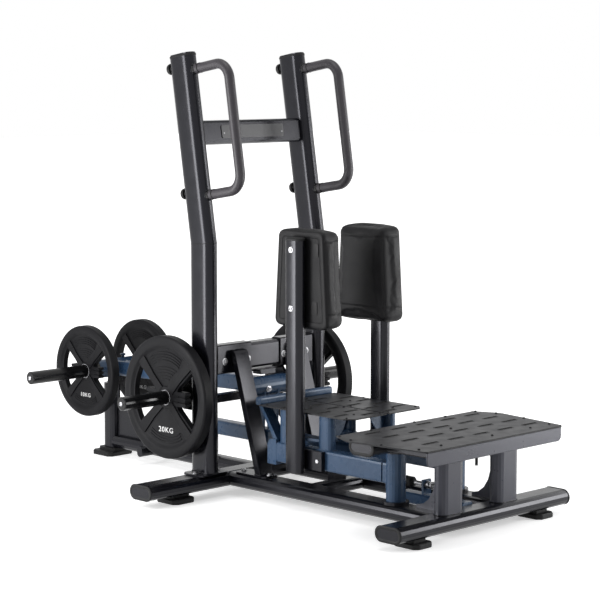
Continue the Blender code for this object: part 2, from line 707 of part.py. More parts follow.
def pad(side, s):
    """Cushion that is drawn in at its seams and crowned in the middle, on a flat board."""
    hinge = (s * RAIL_X, PIVOT_Y, ARM_Z)
    low = PAD_LOW + 0.010
    high = PAD_TOP - 0.010
    board = []
    r = 0.022
    for sy, z, start in ((1, high, 0), (-1, high, 90), (-1, low, 180), (1, low, 270)):
        half = pad_half_width(z) - 0.008
        sz = 1 if z == high else -1
        board += arc((PAD_Y + sy * (half - r), z - sz * r), r, start, start + 90, 3)
    sheet = prism(board, "X", s * (PAD_BACK + GAP), s * (PAD_BACK + PAD_BOARD_T))
    part(side + "_pad_board", sheet, "board", hinge)
    middle = (PAD_LOW + PAD_TOP) / 2
    tall = (PAD_TOP - PAD_LOW) / 2
    bm = bmesh.new()
    rows = []
    for depth, inset, shrink in PAD_SECTIONS:
        row = []
        for i in range(PAD_AROUND):
            t = 2 * math.pi * i / PAD_AROUND
            c = math.cos(t)
            v = math.sin(t)
            uy = math.copysign(abs(c) ** PAD_SQUARE, c)
            uz = math.copysign(abs(v) ** PAD_SQUARE, v)
            z = middle + uz * (tall - inset)
            half = pad_half_width(z) - inset - PAD_DRAW * (1 - uz * uz) * (1 if abs(uy) > 0.95 else 0)
            y = PAD_Y + uy * half
            row.append(bm.verts.new((
                s * (PAD_BACK - depth * PAD_T),
                PAD_Y + (y - PAD_Y) * shrink, middle + (z - middle) * shrink)))
        rows.append(row)
    for below, above in zip(rows, rows[1:]):
        for i in range(PAD_AROUND):
            j = (i + 1) % PAD_AROUND
            bm.faces.new((below[i], below[j], above[j], above[i]))
    bm.faces.new(rows[0])
    bm.faces.new(rows[-1])
    part(side + "_pad", bm, "leather", hinge)


def link_rod(side, s):
    """Flat bar from the arm's lug to the push tube's head, with an open eye at the head."""
    run = Vector((s * (LINK_IN_X - LINK_OUT_X), LINK_IN_Y - LINK_OUT_Y, 0))
    outline = arc((0, 0), LINK_W / 2, 90, 270, 8) + arc((run.length, 0), EYE_R, -112, 112, 8)
    stance = Matrix.Translation((s * LINK_OUT_X, LINK_OUT_Y, LINK_LOW))
    stance = stance @ Matrix.Rotation(math.atan2(run.y, run.x), 4, "Z")
    obj = part(
        side + "_link_rod", move(prism(outline, "Z", 0, LINK_T), stance), "blue",
        (s * LINK_OUT_X, LINK_OUT_Y, LINK_LOW))
    for x, y, r in ((LINK_OUT_X, LINK_OUT_Y, 0.0066), (LINK_IN_X, LINK_IN_Y, EYE_BORE)):
        cut(obj, rod(r, "Z", (s * x, y, 0), LINK_LOW - 0.01, LINK_LOW + LINK_T + 0.01, 12))


def push_tube():
    """Tube pulled back by the link rods: head plate with two pins, nose plate and pusher."""
    low = SLIDER_Z - SLIDER_H / 2
    top = SLIDER_Z + SLIDER_H / 2
    obj = part("push_tube", prism(
        soft_rect(SLIDER_W, SLIDER_H, 0.008, (0, SLIDER_Z)), "Y", SLIDER_FRONT, SLIDER_BACK),
        "blue", (0, SLIDER_FRONT, SLIDER_Z))
    weld(obj, box(-0.045, 0.045, SLIDER_FRONT - NOSE_T, SLIDER_FRONT + BITE, NOSE_LOW, top + 0.001))
    weld(obj, box(-0.048, 0.048, LINK_IN_Y - 0.026, LINK_IN_Y + 0.030, top - BITE, HEAD_TOP))
    for s in (-1, 1):
        weld(obj, turned([
            (0, HEAD_TOP - BITE), (0.006, HEAD_TOP - BITE), (0.006, LINK_LOW + LINK_T + GAP),
            (0.0145, LINK_LOW + LINK_T + GAP), (0.0145, LINK_LOW + LINK_T + 0.005),
            (0, LINK_LOW + LINK_T + 0.006)], "Z", (s * LINK_IN_X, LINK_IN_Y, 0), 12))
    face = LEVER_Y - ROLLER_R - GAP
    weld(obj, box(-0.022, 0.022, face - 0.030, face, ROLLER_Z - 0.020, low + BITE))


def push_guide(name, y, seat):
    """Open channel that carries the push tube on the floor frame."""
    wide = SLIDER_W / 2 + RUN_CLEARANCE
    low = SLIDER_Z - SLIDER_H / 2 - GAP
    lip = SLIDER_Z + 0.012
    outline = [
        (-wide - 0.005, seat), (wide + 0.005, seat), (wide + 0.005, lip), (wide, lip),
        (wide, low), (-wide, low), (-wide, lip), (-wide - 0.005, lip)]
    part(name, prism(outline, "Y", y - 0.016, y + 0.016), "black")


def lever():
    """Weight lever: pivot tube with two cheeks and a roller, beam, rear tube and sleeves."""
    pivot = (0, LEVER_Y, LEVER_Z)
    end = LEVER_HALF + 0.020
    tube = part("lever_pivot_tube", turned([
        (0, -end), (STUB_R, -end), (STUB_R, -LEVER_HALF), (LEVER_R, -LEVER_HALF),
        (LEVER_R, LEVER_HALF), (STUB_R, LEVER_HALF), (STUB_R, end), (0, end)], "X", pivot), "blue", pivot)
    cheek = [
        (LEVER_Y - 0.014, ROLLER_Z - 0.018), (LEVER_Y + 0.014, ROLLER_Z - 0.018),
        (LEVER_Y + 0.020, ROLLER_Z - 0.010), (LEVER_Y + 0.034, LEVER_Z - 0.006),
        (LEVER_Y - 0.034, LEVER_Z - 0.006), (LEVER_Y - 0.020, ROLLER_Z - 0.010)]
    for s in (-1, 1):
        weld(tube, prism(cheek, "X", s * CHEEK_IN, s * (CHEEK_IN + CHEEK_T)))
    weld(tube, rod(ROLLER_R, "X", (0, LEVER_Y, ROLLER_Z), -CHEEK_IN - 0.004, CHEEK_IN + 0.004))

    reach = Vector((0, REAR_TUBE_Y - LEVER_Y, REAR_TUBE_Z - LEVER_Z))
    stance = Matrix.Translation(pivot) @ Matrix.Rotation(math.atan2(reach.z, reach.y), 4, "X")
    rear = (0, REAR_TUBE_Y, REAR_TUBE_Z)
    beam = part("lever_beam", move(prism(
        soft_rect(BEAM_W, BEAM_H, 0.010), "Y", 0, reach.length), stance), "blue", pivot)
    cut(beam, rod(LEVER_R + GAP, "X", pivot, -0.2, 0.2, 20))
    weld(beam, rod(LEVER_R, "X", rear, -REAR_TUBE_HALF, REAR_TUBE_HALF, 20))
    knob = REAR_TUBE_Z + LEVER_R
    weld(beam, turned([
        (0, knob - 0.003), (0.006, knob - 0.003), (0.006, knob + 0.006), (0.011, knob + 0.009),
        (0.011, knob + 0.014), (0, knob + 0.017)], "Z", (0.038, REAR_TUBE_Y, 0), 12))
    for side, s in SIDES:
        part(side + "_lever_sleeve", horn(
            s, REAR_TUBE_Y, REAR_TUBE_Z, REAR_TUBE_HALF + GAP, SMALL_PLATE_IN - GAP, REAR_SLEEVE_OUT),
            "black", pivot)


def horn(s, y, z, start, collar, tip):
    """Plate sleeve with a stop collar inboard of the plate."""
    return turned([
        (0, s * start), (SLEEVE_R, s * start), (SLEEVE_R, s * (collar - COLLAR_T)),
        (COLLAR_R, s * (collar - COLLAR_T)), (COLLAR_R, s * collar), (SLEEVE_R, s * collar),
        (SLEEVE_R, s * (tip - 0.003)), (SLEEVE_R - 0.003, s * tip), (0, s * tip)], "X", (0, y, z))


def weight_plate(name, s, y, z, inner, thick, radius):
    """Weight plate: thick rim, thinner web and two windows."""
    rim = radius * 0.82
    middle = s * (inner + thick / 2)
    web = thick * 0.36
    obj = part(name, turned([
        (BORE_R, middle - web), (rim - 0.004, middle - web), (rim + 0.003, middle - thick / 2),
        (radius - 0.005, middle - thick / 2), (radius, middle - thick / 2 + 0.006),
        (radius, middle + thick / 2 - 0.006), (radius - 0.005, middle + thick / 2),
        (rim + 0.003, middle + thick / 2), (rim - 0.004, middle + web), (BORE_R, middle + web)],
        "X", (0, y, z), 40), "plate", (0, y, z))
    for turn in (0, 180):
        window = arc((y, z), rim - 0.010, turn - 36, turn + 36, 8)
        window += arc((y, z), radius * 0.36, turn + 24, turn - 24, 4)
        cut(obj, prism(window, "X", middle - thick, middle + thick))


def weights():
    """Storage horns on brackets behind the uprights, tied by a bar, and the four plates."""
    rear = UPRIGHT_Y + TUBE_D / 2 - 0.004
    low = TIE_TOP - TIE_H - 0.006
    start = UPRIGHT_X - BRACKET_T / 2
    for side, s in SIDES:
        sleeve = horn(s, HORN_Y, HORN_Z, start + BITE, PLATE_IN - GAP, HORN_OUT)
        obj = part(side + "_storage_horn", sleeve, "black")
        x = s * UPRIGHT_X
        outline = [(rear, low), (HORN_Y + 0.006, low)]
        outline += arc((HORN_Y + 0.006, HORN_Z), 0.034, -60, 60, 4)
        outline.append((rear, HORN_Z + 0.075))
        weld(obj, prism(outline, "X", x - BRACKET_T / 2, x + BRACKET_T / 2))
        cut(obj, upright_shape(x, GAP))
        weight_plate(side + "_large_plate", s, HORN_Y, HORN_Z, PLATE_IN, PLATE_T, PLATE_R)
        weight_plate(
            side + "_small_plate", s, REAR_TUBE_Y, REAR_TUBE_Z, SMALL_PLATE_IN, REAR_PLATE_T, REAR_PLATE_R)
    part("horn_tie", box(
        -start + GAP, start - GAP, HORN_Y - TIE_T / 2, HORN_Y + TIE_T / 2, TIE_TOP - TIE_H, TIE_TOP), "black")


def lever_hanger():
    """Bracket under the lower crossbar: two bored ears, and a post that stands over the pivot tube."""
    top = LOWER_BAR_Z - LOWER_BAR_H / 2 - SADDLE_T - GAP
    near = LEVER_HALF + 0.002
    far = near + EAR_T
    back = UPRIGHT_Y + LOWER_BAR_T / 2
    obj = part("lever_hanger", box(-far, far, back - 0.052, back, top - 0.008, top), "black")
    ear = [(back - 0.052, top - 0.002), (LEVER_Y - 0.030, LEVER_Z + 0.006), (LEVER_Y - 0.030, LEVER_Z)]
    ear += arc((LEVER_Y, LEVER_Z), 0.030, 180, 320, 7)[1:]
    ear.append((back, top - 0.002))
    for s in (-1, 1):
        weld(obj, prism(ear, "X", s * near, s * far))
    weld(obj, box(-0.037, 0.037, LEVER_Y - 0.012, LEVER_Y + 0.032, LEVER_Z + LEVER_R + 0.007, top - 0.002))
    for s in (-1, 1):
        bore = STUB_R + RUN_CLEARANCE
        cut(obj, rod(bore, "X", (0, LEVER_Y, LEVER_Z), s * (near - 0.01), s * (far + 0.01), 20))


def stops():
    """Rubber rest under the lever's rear tube, and the screw stop ahead of the push tube."""
    part("lever_rest", turned([
        (0, TAIL_TOP + GAP), (0.021, TAIL_TOP + GAP), (0.023, TAIL_TOP + 0.010),
        (0.018, REAR_TUBE_Z - LEVER_R - GAP), (0, REAR_TUBE_Z - LEVER_R - GAP)],
        "Z", (0, REAR_TUBE_Y, 0), 16), "rubber")
    back = FRONT_Y + TUBE_D / 2
    top = BAR_Z + 0.036
    carrier = part("stop_carrier", prism(
        soft_rect(0.048, 0.040, 0.005, (0, top - 0.020), 1), "Y", back - 0.02, CARRIER_BACK), "blue")
    cut(carrier, crossbar_shape(FRONT_Y, GAP))
    weld(carrier, box(-0.020, 0.020, STOP_PLATE_Y - 0.004, STOP_PLATE_Y + 0.004, top - BITE, STOP_Z + 0.018))
    cut(carrier, rod(STOP_R + GAP, "Y", (0, 0, STOP_Z), STOP_PLATE_Y - 0.02, STOP_PLATE_Y + 0.02, 12))
    face = STOP_PLATE_Y - 0.004 - GAP
    tip = STOP_PLATE_Y + 0.055
    part("stop_bolt", turned([
        (0, face - 0.060), (STOP_R, face - 0.060), (STOP_R, face - 0.012), (0.013, face - 0.012),
        (0.013, face), (STOP_R, face), (STOP_R, tip), (0, tip)], "Y", (0, 0, STOP_Z), 12), "chrome")
    nose = SLIDER_FRONT - NOSE_T - GAP
    base = tip + GAP
    ribs = [(0, base), (0.013, base)]
    for i in range(3):
        start = base + 0.008 + i * (nose - base - 0.008) / 3
        width = (nose - base - 0.008) / 3
        ribs += [(0.019, start), (0.019, start + width * 0.6), (0.014, start + width * 0.8)]
    ribs += [(0.017, nose), (0, nose)]
    part("stop_bumper", turned(ribs, "Y", (0, 0, STOP_Z), 12), "rubber")


floor_frame()
rear_frame()
rubber_feet()
upper_crossbar()
lower_crossbar()
step()
push_tube()
push_guide("front_push_guide", CROSS_Y, BAR_Z + CROSS_T / 2 + GAP)
push_guide("rear_push_guide", GUIDE_Y, RAIL_TOP + GAP)
lever()
lever_hanger()
weights()
stops()
for side, s in SIDES:
    upright(side, s)
    brace(side, s)
    handle(side, s)
    pivot_shaft(side, s)
    swing_arm(side, s)
    foot_plate(side, s)
    pad_post(side, s)
    pad(side, s)
    link_rod(side, s)
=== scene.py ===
import math

import bmesh
import bpy
from mathutils import Matrix, Vector
from mathutils.bvhtree import BVHTree


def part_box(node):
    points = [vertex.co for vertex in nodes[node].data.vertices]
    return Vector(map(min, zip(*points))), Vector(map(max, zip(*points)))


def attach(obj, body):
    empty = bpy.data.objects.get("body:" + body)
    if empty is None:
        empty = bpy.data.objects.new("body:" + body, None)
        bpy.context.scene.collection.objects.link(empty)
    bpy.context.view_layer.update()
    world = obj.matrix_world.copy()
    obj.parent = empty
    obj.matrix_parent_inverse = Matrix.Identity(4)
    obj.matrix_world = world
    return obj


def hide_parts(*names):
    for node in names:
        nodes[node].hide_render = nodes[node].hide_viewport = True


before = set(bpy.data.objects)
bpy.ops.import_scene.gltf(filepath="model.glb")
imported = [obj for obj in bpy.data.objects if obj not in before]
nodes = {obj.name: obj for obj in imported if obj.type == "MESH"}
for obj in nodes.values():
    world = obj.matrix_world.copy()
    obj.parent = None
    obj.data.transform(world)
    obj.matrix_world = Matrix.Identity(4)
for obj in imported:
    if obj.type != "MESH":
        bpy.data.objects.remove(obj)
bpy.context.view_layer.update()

SIDES = (("left", -1), ("right", 1))

# Lengths are in metres. The camera's place, direction and lens were solved from the photograph's edges.
CAMERA_AT = (-5.1161, -5.3508, 1.5597)
CAMERA_TILT = math.radians(83.384)
CAMERA_TURN = -0.7773
LENS = 121.37

# Places are written as in the CAD, from the hinge line backwards; SHIFT moves them to the frame's centre.
SHIFT = 0.371

# Uprights, floor bars and rails.
UPRIGHT_X = 0.274
UPRIGHT_Y = 0.4345
REAR_Y = 0.431
FRONT_Y = -0.626
BAR_TOP = 0.0825
BAR_Z = 0.056
RAIL_TOP = 0.081
RAIL_X = 0.153
TUBE_D = 0.114
TUBE_T = 0.053
BEND_Z = 0.923
UPRIGHT_TOP = 1.5955
LEAN = math.radians(9.15)
CROWN = 0.0026  # bulge of a rolled tube's broad sides
SKIN = 0.0003  # how far a visible skin or seam stands off the solid under it
FLANGE = 0.0063  # thickness of the bolted plates on the bars and rails

# Grips.
GRIP_OUT = 0.232
GRIP_R = 0.018
GRIP_BEND = 0.060
JOINTS_Z = (1.099, 1.547)

# Pad posts and cushions, at rest.
POST_X = 0.216
POST_Y = 0.023
POST_TOP = 0.957
POST_LOW = 0.138
POST_T = 0.040
POST_D = 0.080
PAD_OUTER = 0.1936
PAD_Y = 0.020
PAD_T = 0.0950
PAD_LOW = 0.655
PAD_TOP = 0.990
PAD_WIDE = 0.262
PAD_NARROW = 0.226
COVER_LOW = PAD_LOW - 0.007

# Lever, step and foot treads.
LEVER_Y = 0.400
LEVER_Z = 0.382
PIVOT_Y = -0.400
STEP_TOP = 0.328
TREAD_TOP = 0.350
SLOT_W = 0.009

UP = (0, 0, 1)
FRONT = (0, -1, 0)
BACK = (0, 1, 0)


def at(x, y, z):
    return Vector((x, y - SHIFT, z))


# ---------------------------------------------------------------- materials


def mapped(tree, kind, scale, detail=2.0, stretch=None):
    """A texture node fed by the object's own coordinates, so that it keeps its real size."""
    links = tree.links
    coords = tree.nodes.new("ShaderNodeTexCoord")
    source = coords.outputs["Object"]
    if stretch:
        mapping = tree.nodes.new("ShaderNodeMapping")
        mapping.inputs["Scale"].default_value = stretch
        links.new(source, mapping.inputs["Vector"])
        source = mapping.outputs["Vector"]
    texture = tree.nodes.new(kind)
    texture.inputs["Scale"].default_value = scale
    if "Detail" in texture.inputs:
        texture.inputs["Detail"].default_value = detail
    links.new(source, texture.inputs["Vector"])
    return texture


def ranged(tree, source, low, high, out_low, out_high):
    node = tree.nodes.new("ShaderNodeMapRange")
    node.inputs["From Min"].default_value = low
    node.inputs["From Max"].default_value = high
    node.inputs["To Min"].default_value = out_low
    node.inputs["To Max"].default_value = out_high
    tree.links.new(source, node.inputs["Value"])
    return node.outputs["Result"]


def mixed(tree, factor, first, second):
    node = tree.nodes.new("ShaderNodeMix")
    node.data_type = "RGBA"
    tree.links.new(factor, node.inputs["Factor"])
    for socket, value in ((node.inputs[6], first), (node.inputs[7], second)):
        if isinstance(value, bpy.types.NodeSocket):
            tree.links.new(value, socket)
        else:
            socket.default_value = (*value, 1)
    return node.outputs[2]


def math_node(tree, operation, first, second):
    node = tree.nodes.new("ShaderNodeMath")
    node.operation = operation
    tree.links.new(first, node.inputs[0])
    tree.links.new(second, node.inputs[1])
    return node.outputs["Value"]


def noise(tree, scale, detail):
    return mapped(tree, "ShaderNodeTexNoise", scale, detail).outputs["Fac"]


def edge_wear(tree, worn):
    """Rises from 0 to worn where the rounded normal departs from the flat one, in uneven patches."""
    rounding = tree.nodes.new("ShaderNodeBevel")
    rounding.samples = 4
    rounding.inputs["Radius"].default_value = 0.0018
    flat = tree.nodes.new("ShaderNodeNewGeometry")
    agree = tree.nodes.new("ShaderNodeVectorMath")
    agree.operation = "DOT_PRODUCT"
    tree.links.new(rounding.outputs["Normal"], agree.inputs[0])
    tree.links.new(flat.outputs["Normal"], agree.inputs[1])
    edge = ranged(tree, agree.outputs["Value"], 0.99, 0.85, 0, worn)
    return math_node(tree, "MULTIPLY", edge, ranged(tree, noise(tree, 60.0, 5.0), 0.40, 0.62, 0, 1))


def finish_material(name, colour, rough, grain, depth, spread, worn=0.0, metallic=0.0, bump=None,
                    specular=0.5, tint=(1, 1, 1)):
    """Surface with mottled colour, uneven gloss, a fine grain and, where worn, lighter edges."""
    mat = bpy.data.materials.new(name)
    mat.use_nodes = True
    tree = mat.node_tree
    shader = tree.nodes["Principled BSDF"]
    shader.inputs["Metallic"].default_value = metallic
    shader.inputs["Specular IOR Level"].default_value = specular
    shader.inputs["Specular Tint"].default_value = (*tint, 1)
    dark = tuple(c * (1 - spread) for c in colour)
    pale = tuple(c * (1 + spread) for c in colour)
    tone = mixed(tree, ranged(tree, noise(tree, 9.0, 4.0), 0.35, 0.65, 0, 1), dark, pale)
    fine = noise(tree, grain, 2.0)
    flecks = tuple(min(1, c * 1.6) for c in colour)
    tone = mixed(tree, ranged(tree, fine, 0.3, 0.75, 0, 0.35), tone, flecks)
    if worn:
        tone = mixed(tree, edge_wear(tree, worn), tone, tuple(min(1, 0.03 + c * 1.8) for c in colour))
    tree.links.new(tone, shader.inputs["Base Color"])
    gloss = ranged(tree, noise(tree, 22.0, 5.0), 0.3, 0.7, rough * 0.88, rough * 1.12)
    tree.links.new(gloss, shader.inputs["Roughness"])
    relief = tree.nodes.new("ShaderNodeBump")
    relief.inputs["Strength"].default_value = 1.0
    relief.inputs["Distance"].default_value = depth
    tree.links.new(bump(tree) if bump else fine, relief.inputs["Height"])
    tree.links.new(relief.outputs["Normal"], shader.inputs["Normal"])
    return mat


def canvas(tree):
    """Fine crossed threads of a coated cloth, with a soft pebble added to them."""
    waves = []
    for direction in ("Y", "Z"):
        wave = mapped(tree, "ShaderNodeTexWave", 260.0, 1.0)
        wave.bands_direction = direction
        wave.inputs["Distortion"].default_value = 1.2
        waves.append(wave.outputs["Fac"])
    pebble = mapped(tree, "ShaderNodeTexVoronoi", 420.0).outputs["Distance"]
    return math_node(tree, "ADD", math_node(tree, "MAXIMUM", *waves), pebble)


def pebbled(tree):
    return mapped(tree, "ShaderNodeTexVoronoi", 520.0).outputs["Distance"]


def brushed(tree):
    return mapped(tree, "ShaderNodeTexNoise", 240.0, 4.0, (1, 1, 12)).outputs["Fac"]


COOL = (0.92, 0.92, 1.0)

# Each finish: name, colour, roughness, grain scale, grain depth and spread of the colour.
BLACK = finish_material(
    "frame_black", (0.0036, 0.0037, 0.0054), 0.23, 1100, 0.000003, 0.06, worn=0.06, specular=0.28, tint=COOL)
STEP = finish_material(
    "step_black", (0.026, 0.0275, 0.036), 0.30, 1100, 0.000006, 0.06, specular=0.35, tint=COOL)
BLUE = finish_material(
    "moving_blue", (0.023, 0.048, 0.094), 0.28, 1100, 0.000006, 0.08, worn=0.08, specular=0.30,
    tint=(0.85, 0.92, 1.0))
TREAD = finish_material(
    "tread_grey", (0.0085, 0.0089, 0.0108), 0.42, 700, 0.00003, 0.08, worn=0.08, specular=0.19)
RUBBER = finish_material(
    "foot_rubber", (0.0060, 0.0060, 0.0066), 0.55, 500, 0.00005, 0.12, bump=pebbled, specular=0.22)
PLATE = finish_material(
    "plate_rubber", (0.0052, 0.0052, 0.0062), 0.50, 600, 0.00004, 0.12, bump=pebbled, specular=0.10)
SLEEVE = finish_material(
    "sleeve_black", (0.0040, 0.0040, 0.0046), 0.18, 900, 0.00001, 0.08, worn=0.10, specular=0.32)
STEEL = finish_material("steel", (0.50, 0.50, 0.52), 0.24, 800, 0.00001, 0.08, metallic=1.0, bump=brushed)
ZINC = finish_material("zinc", (0.30, 0.30, 0.31), 0.34, 800, 0.00002, 0.14, metallic=1.0, bump=brushed)
LEATHER = finish_material(
    "pad_leather", (0.0050, 0.0049, 0.0057), 0.48, 380, 0.00012, 0.08, bump=canvas, specular=0.17)
GRIP = finish_material("grip", (0.034, 0.031, 0.036), 0.42, 650, 0.00003, 0.10, bump=pebbled, specular=0.30)
SIGN = finish_material("sign_grey", (0.0200, 0.0200, 0.0225), 0.34, 900, 0.00002, 0.08, specular=0.42)
PAINT = finish_material("white_paint", (0.60, 0.60, 0.60), 0.50, 900, 0.00002, 0.06)
THREAD = finish_material("seam_thread", (0.0045, 0.0045, 0.0050), 0.60, 900, 0.00002, 0.2, specular=0.2)
# Painted shade: darker colour of the step frame behind its front face, where the tread shades it.
STEP_PAINTED_SHADE = (0.0052, 0.0054, 0.0066)
STEP_SHADE_FROM_Y = -1.0775

# The finish of each material slot of the CAD nodes.
LOOKS = {
    "frame_black": BLACK, "step_black": STEP, "moving_blue": BLUE, "tread_grey": TREAD,
    "foot_rubber": RUBBER, "plate_black": PLATE, "sleeve_black": SLEEVE, "pin_steel": STEEL,
    "stop_steel": ZINC, "pad_leather": LEATHER, "board_black": LEATHER, "grip_rubber": GRIP,
    "sign_grey": SIGN}


def painted_shade_copy(mat, inner, y):
    """Copy of a finish darkened behind a plane across the machine: painted shade on the parts under the
    step's tread.
    """
    mat = mat.copy()
    mat.name = mat.name + "_inner"
    tree = mat.node_tree
    base = tree.nodes["Principled BSDF"].inputs["Base Color"]
    outer = base.links[0].from_socket
    split = tree.nodes.new("ShaderNodeSeparateXYZ")
    tree.links.new(tree.nodes.new("ShaderNodeTexCoord").outputs["Object"], split.inputs["Vector"])
    # Mask of the painted shade: one behind the plane, nought in front of it.
    shade_mask = ranged(tree, split.outputs["Y"], y - 0.001, y + 0.001, 0, 1)
    tree.links.new(mixed(tree, shade_mask, outer, inner), base)
    return mat


def dress_frame():
    """Gives every carried-over CAD node the finish of its material slot."""
    for obj in nodes.values():
        slot = obj.material_slots[0].material.name.split(".")[0]
        obj.material_slots[0].material = LOOKS[slot]
    # The step frame's colour is darkened behind its front face, as painted shade under the tread.
    nodes["step_frame"].material_slots[0].material = painted_shade_copy(STEP, STEP_PAINTED_SHADE, STEP_SHADE_FROM_Y)


# ---------------------------------------------------------------- mesh tools


def linked(name, data):
    """Adds an object that holds the given data to the scene."""
    obj = bpy.data.objects.new(name, data)
    bpy.context.scene.collection.objects.link(obj)
    return obj


def from_bmesh(name, bm):
    """Turns a bmesh into an object of the scene, and frees it."""
    mesh = bpy.data.meshes.new(name)
    bm.to_mesh(mesh)
    bm.free()
    return linked(name, mesh)


def standing(place, axis):
    return Matrix.Translation(place) @ Vector(axis).to_track_quat("Z", "Y").to_matrix().to_4x4()


def sideways(place, s, across=1):
    """Stance of a form drawn in XY that then faces along X towards s; its own X runs along across * Y."""
    return Matrix.Translation(place) @ Matrix(((0, 0, s, 0), (across, 0, 0, 0), (0, 1, 0, 0), (0, 0, 0, 1)))


def polar(radius, degrees):
    return radius * math.cos(math.radians(degrees)), radius * math.sin(math.radians(degrees))


def ring_at(outline, stance, rise=0):
    return [stance @ Vector((x, y, rise)) for x, y in outline]


def joined(bm, rings):
    """Adds the faces between each ring of vertices and the next."""
    for below, above in zip(rings, rings[1:]):
        for k in range(len(below)):
            j = (k + 1) % len(below)
            bm.faces.new((below[k], below[j], above[j], above[k]))


def lofted(bm, rings, closed=False):
    """Adds a skin through rings of equally many points; closed gives it both ends."""
    rings = [[bm.verts.new(point) for point in ring] for ring in rings]
    joined(bm, rings)
    if closed:
        bm.faces.new(rings[0][::-1])
        bm.faces.new(rings[-1])


def spin(bm, profile, place, axis, steps=24):
    """Adds a solid of revolution: (radius, height) points turned about an axis through place."""
    stance = standing(place, axis)
    rings = []
    for r, h in profile:
        turns = 1 if r == 0 else steps
        rings.append([
            bm.verts.new(stance @ Vector((
                r * math.cos(2 * math.pi * k / turns), r * math.sin(2 * math.pi * k / turns), h)))
            for k in range(turns)])
    for below, above in zip(rings, rings[1:]):
        for k in range(steps):
            j = (k + 1) % steps
            if len(below) == 1:
                bm.faces.new((below[0], above[j], above[k]))
            elif len(above) == 1:
                bm.faces.new((below[k], below[j], above[0]))
            else:
                bm.faces.new((below[k], below[j], above[j], above[k]))


def slab(bm, outline, thick, stance):
    """Adds a flat plate: outline in its own X and Y, risen along Z, then put in its stance."""
    low, high = [[bm.verts.new(point) for point in ring_at(outline, stance, z)] for z in (0, thick)]
    bm.faces.new(low[::-1])
    bm.faces.new(high)
    joined(bm, [low, high])


def arc(centre, radius, start, end, steps):
    a, b = math.radians(start), math.radians(end)
    turns = [a + (b - a) * k / steps for k in range(steps + 1)]
    return [(centre[0] + radius * math.cos(t), centre[1] + radius * math.sin(t)) for t in turns]


def rounded(width, height, r):
    points = []
    for sx, sy, start in ((1, 1, 0), (-1, 1, 90), (-1, -1, 180), (1, -1, 270)):
        points += arc((sx * (width / 2 - r), sy * (height / 2 - r)), r, start, start + 90, 5)
    return points


def oval(width, height, grow=0.0, steps=10):
    """Flat-oval outline, wide or high, grown outward by grow."""
    w, h = width + 2 * grow, height + 2 * grow
    r = min(w, h) / 2
    if w >= h:
        return arc((w / 2 - r, 0), r, -90, 90, steps) + arc((r - w / 2, 0), r, 90, 270, steps)
    return arc((0, h / 2 - r), r, 0, 180, steps) + arc((0, r - h / 2), r, 180, 360, steps)


def crowned(width, height, grow):
    """High flat-oval outline whose two broad sides bulge a little, as rolled tube does."""
    reach = height / 2 - width * 0.2

    def bulge(y):
        return CROWN * max(0.0, 1 - (y / reach) ** 2)

    points = [(x + math.copysign(bulge(y), x), y) for x, y in oval(width, height, grow)]
    dense = []
    for k, (x, y) in enumerate(points):
        next_y = points[(k + 1) % len(points)][1]
        dense.append((x, y))
        if abs(next_y - y) > height * 0.3:
            for share in [i / 8 for i in range(1, 8)]:
                t = y + (next_y - y) * share
                dense.append((math.copysign(width / 2 + grow + bulge(t), x), t))
    return dense


def piece(name, bm, body, mat, soft=None, sharp=35):
    """Makes a mesh piece that rides on a body; edges over the sharp angle stay crisp."""
    bmesh.ops.recalc_face_normals(bm, faces=bm.faces)

    def crisp():
        return [e for e in bm.edges if len(e.link_faces) == 2 and e.calc_face_angle(0) > math.radians(sharp)]

    if soft:
        bmesh.ops.bevel(bm, geom=crisp(), offset=soft, segments=2, affect="EDGES", profile=0.6,
                        clamp_overlap=True)
    for face in bm.faces:
        face.smooth = True
    for edge in crisp():
        edge.smooth = False
    obj = from_bmesh(name, bm)
    obj.data.materials.append(mat)
    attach(obj, body)
    return obj


def plug(name, rings, body):
    """Moulded plug in a tube's end, from rings of points that run from its inside out."""
    bm = bmesh.new()
    lofted(bm, rings, closed=True)
    bmesh.ops.remove_doubles(bm, verts=bm.verts, dist=0.00005)
    piece(name, bm, body, RUBBER, sharp=50)


def tubes(name, paths, radius, body, mat, closed=False, round_steps=3):
    """Makes one curve piece from several runs of points."""
    curve = bpy.data.curves.new(name, "CURVE")
    curve.dimensions = "3D"
    curve.bevel_depth = radius
    curve.bevel_resolution = round_steps
    curve.use_fill_caps = True
    for path in paths:
        spline = curve.splines.new("POLY")
        spline.points.add(len(path) - 1)
        spline.use_cyclic_u = closed
        spline.use_smooth = True
        for point, place in zip(spline.points, path):
            point.co = (*place, 1)
    obj = linked(name, curve)
    curve.materials.append(mat)
    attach(obj, body)
    return obj


# ---------------------------------------------------------------- fasteners

HARDWARE = {}
BOLT_R = 0.0066
PITCH = 0.0018


def hardware(body, mat):
    """The bmesh that gathers all fasteners of one finish on one body."""
    key = (body, mat.name)
    if key not in HARDWARE:
        HARDWARE[key] = bmesh.new()
    return HARDWARE[key]


def cap_screw(body, place, axis, r, mat=ZINC, washer=True):
    """Domed head with a six-sided socket, on a thin washer."""
    bm = hardware(body, mat)
    base = 0.0012 if washer else 0.0
    if washer:
        spin(bm, [(0, 0), (r * 1.5, 0), (r * 1.55, 0.0006), (r * 1.5, base), (0, base)], place, axis)
    spin(bm, [
        (0, base - 0.0002), (r, base - 0.0002), (r * 1.02, base + r * 0.2), (r * 0.86, base + r * 0.50),
        (r * 0.58, base + r * 0.66), (r * 0.50, base + r * 0.66), (r * 0.46, base + r * 0.60)], place, axis)
    spin(bm, [(r * 0.46, base + r * 0.60), (r * 0.44, base + r * 0.20), (0, base + r * 0.16)], place, axis, 6)


def flat_screw(body, place, axis, r):
    """Countersunk screw: low lens head with a socket."""
    spin(hardware(body, ZINC), [
        (0, -0.0005), (r, -0.0005), (r, 0.0003), (r * 0.92, 0.0008), (r * 0.5, 0.0010), (r * 0.46, -0.0004),
        (0, -0.0006)], place, axis, 16)


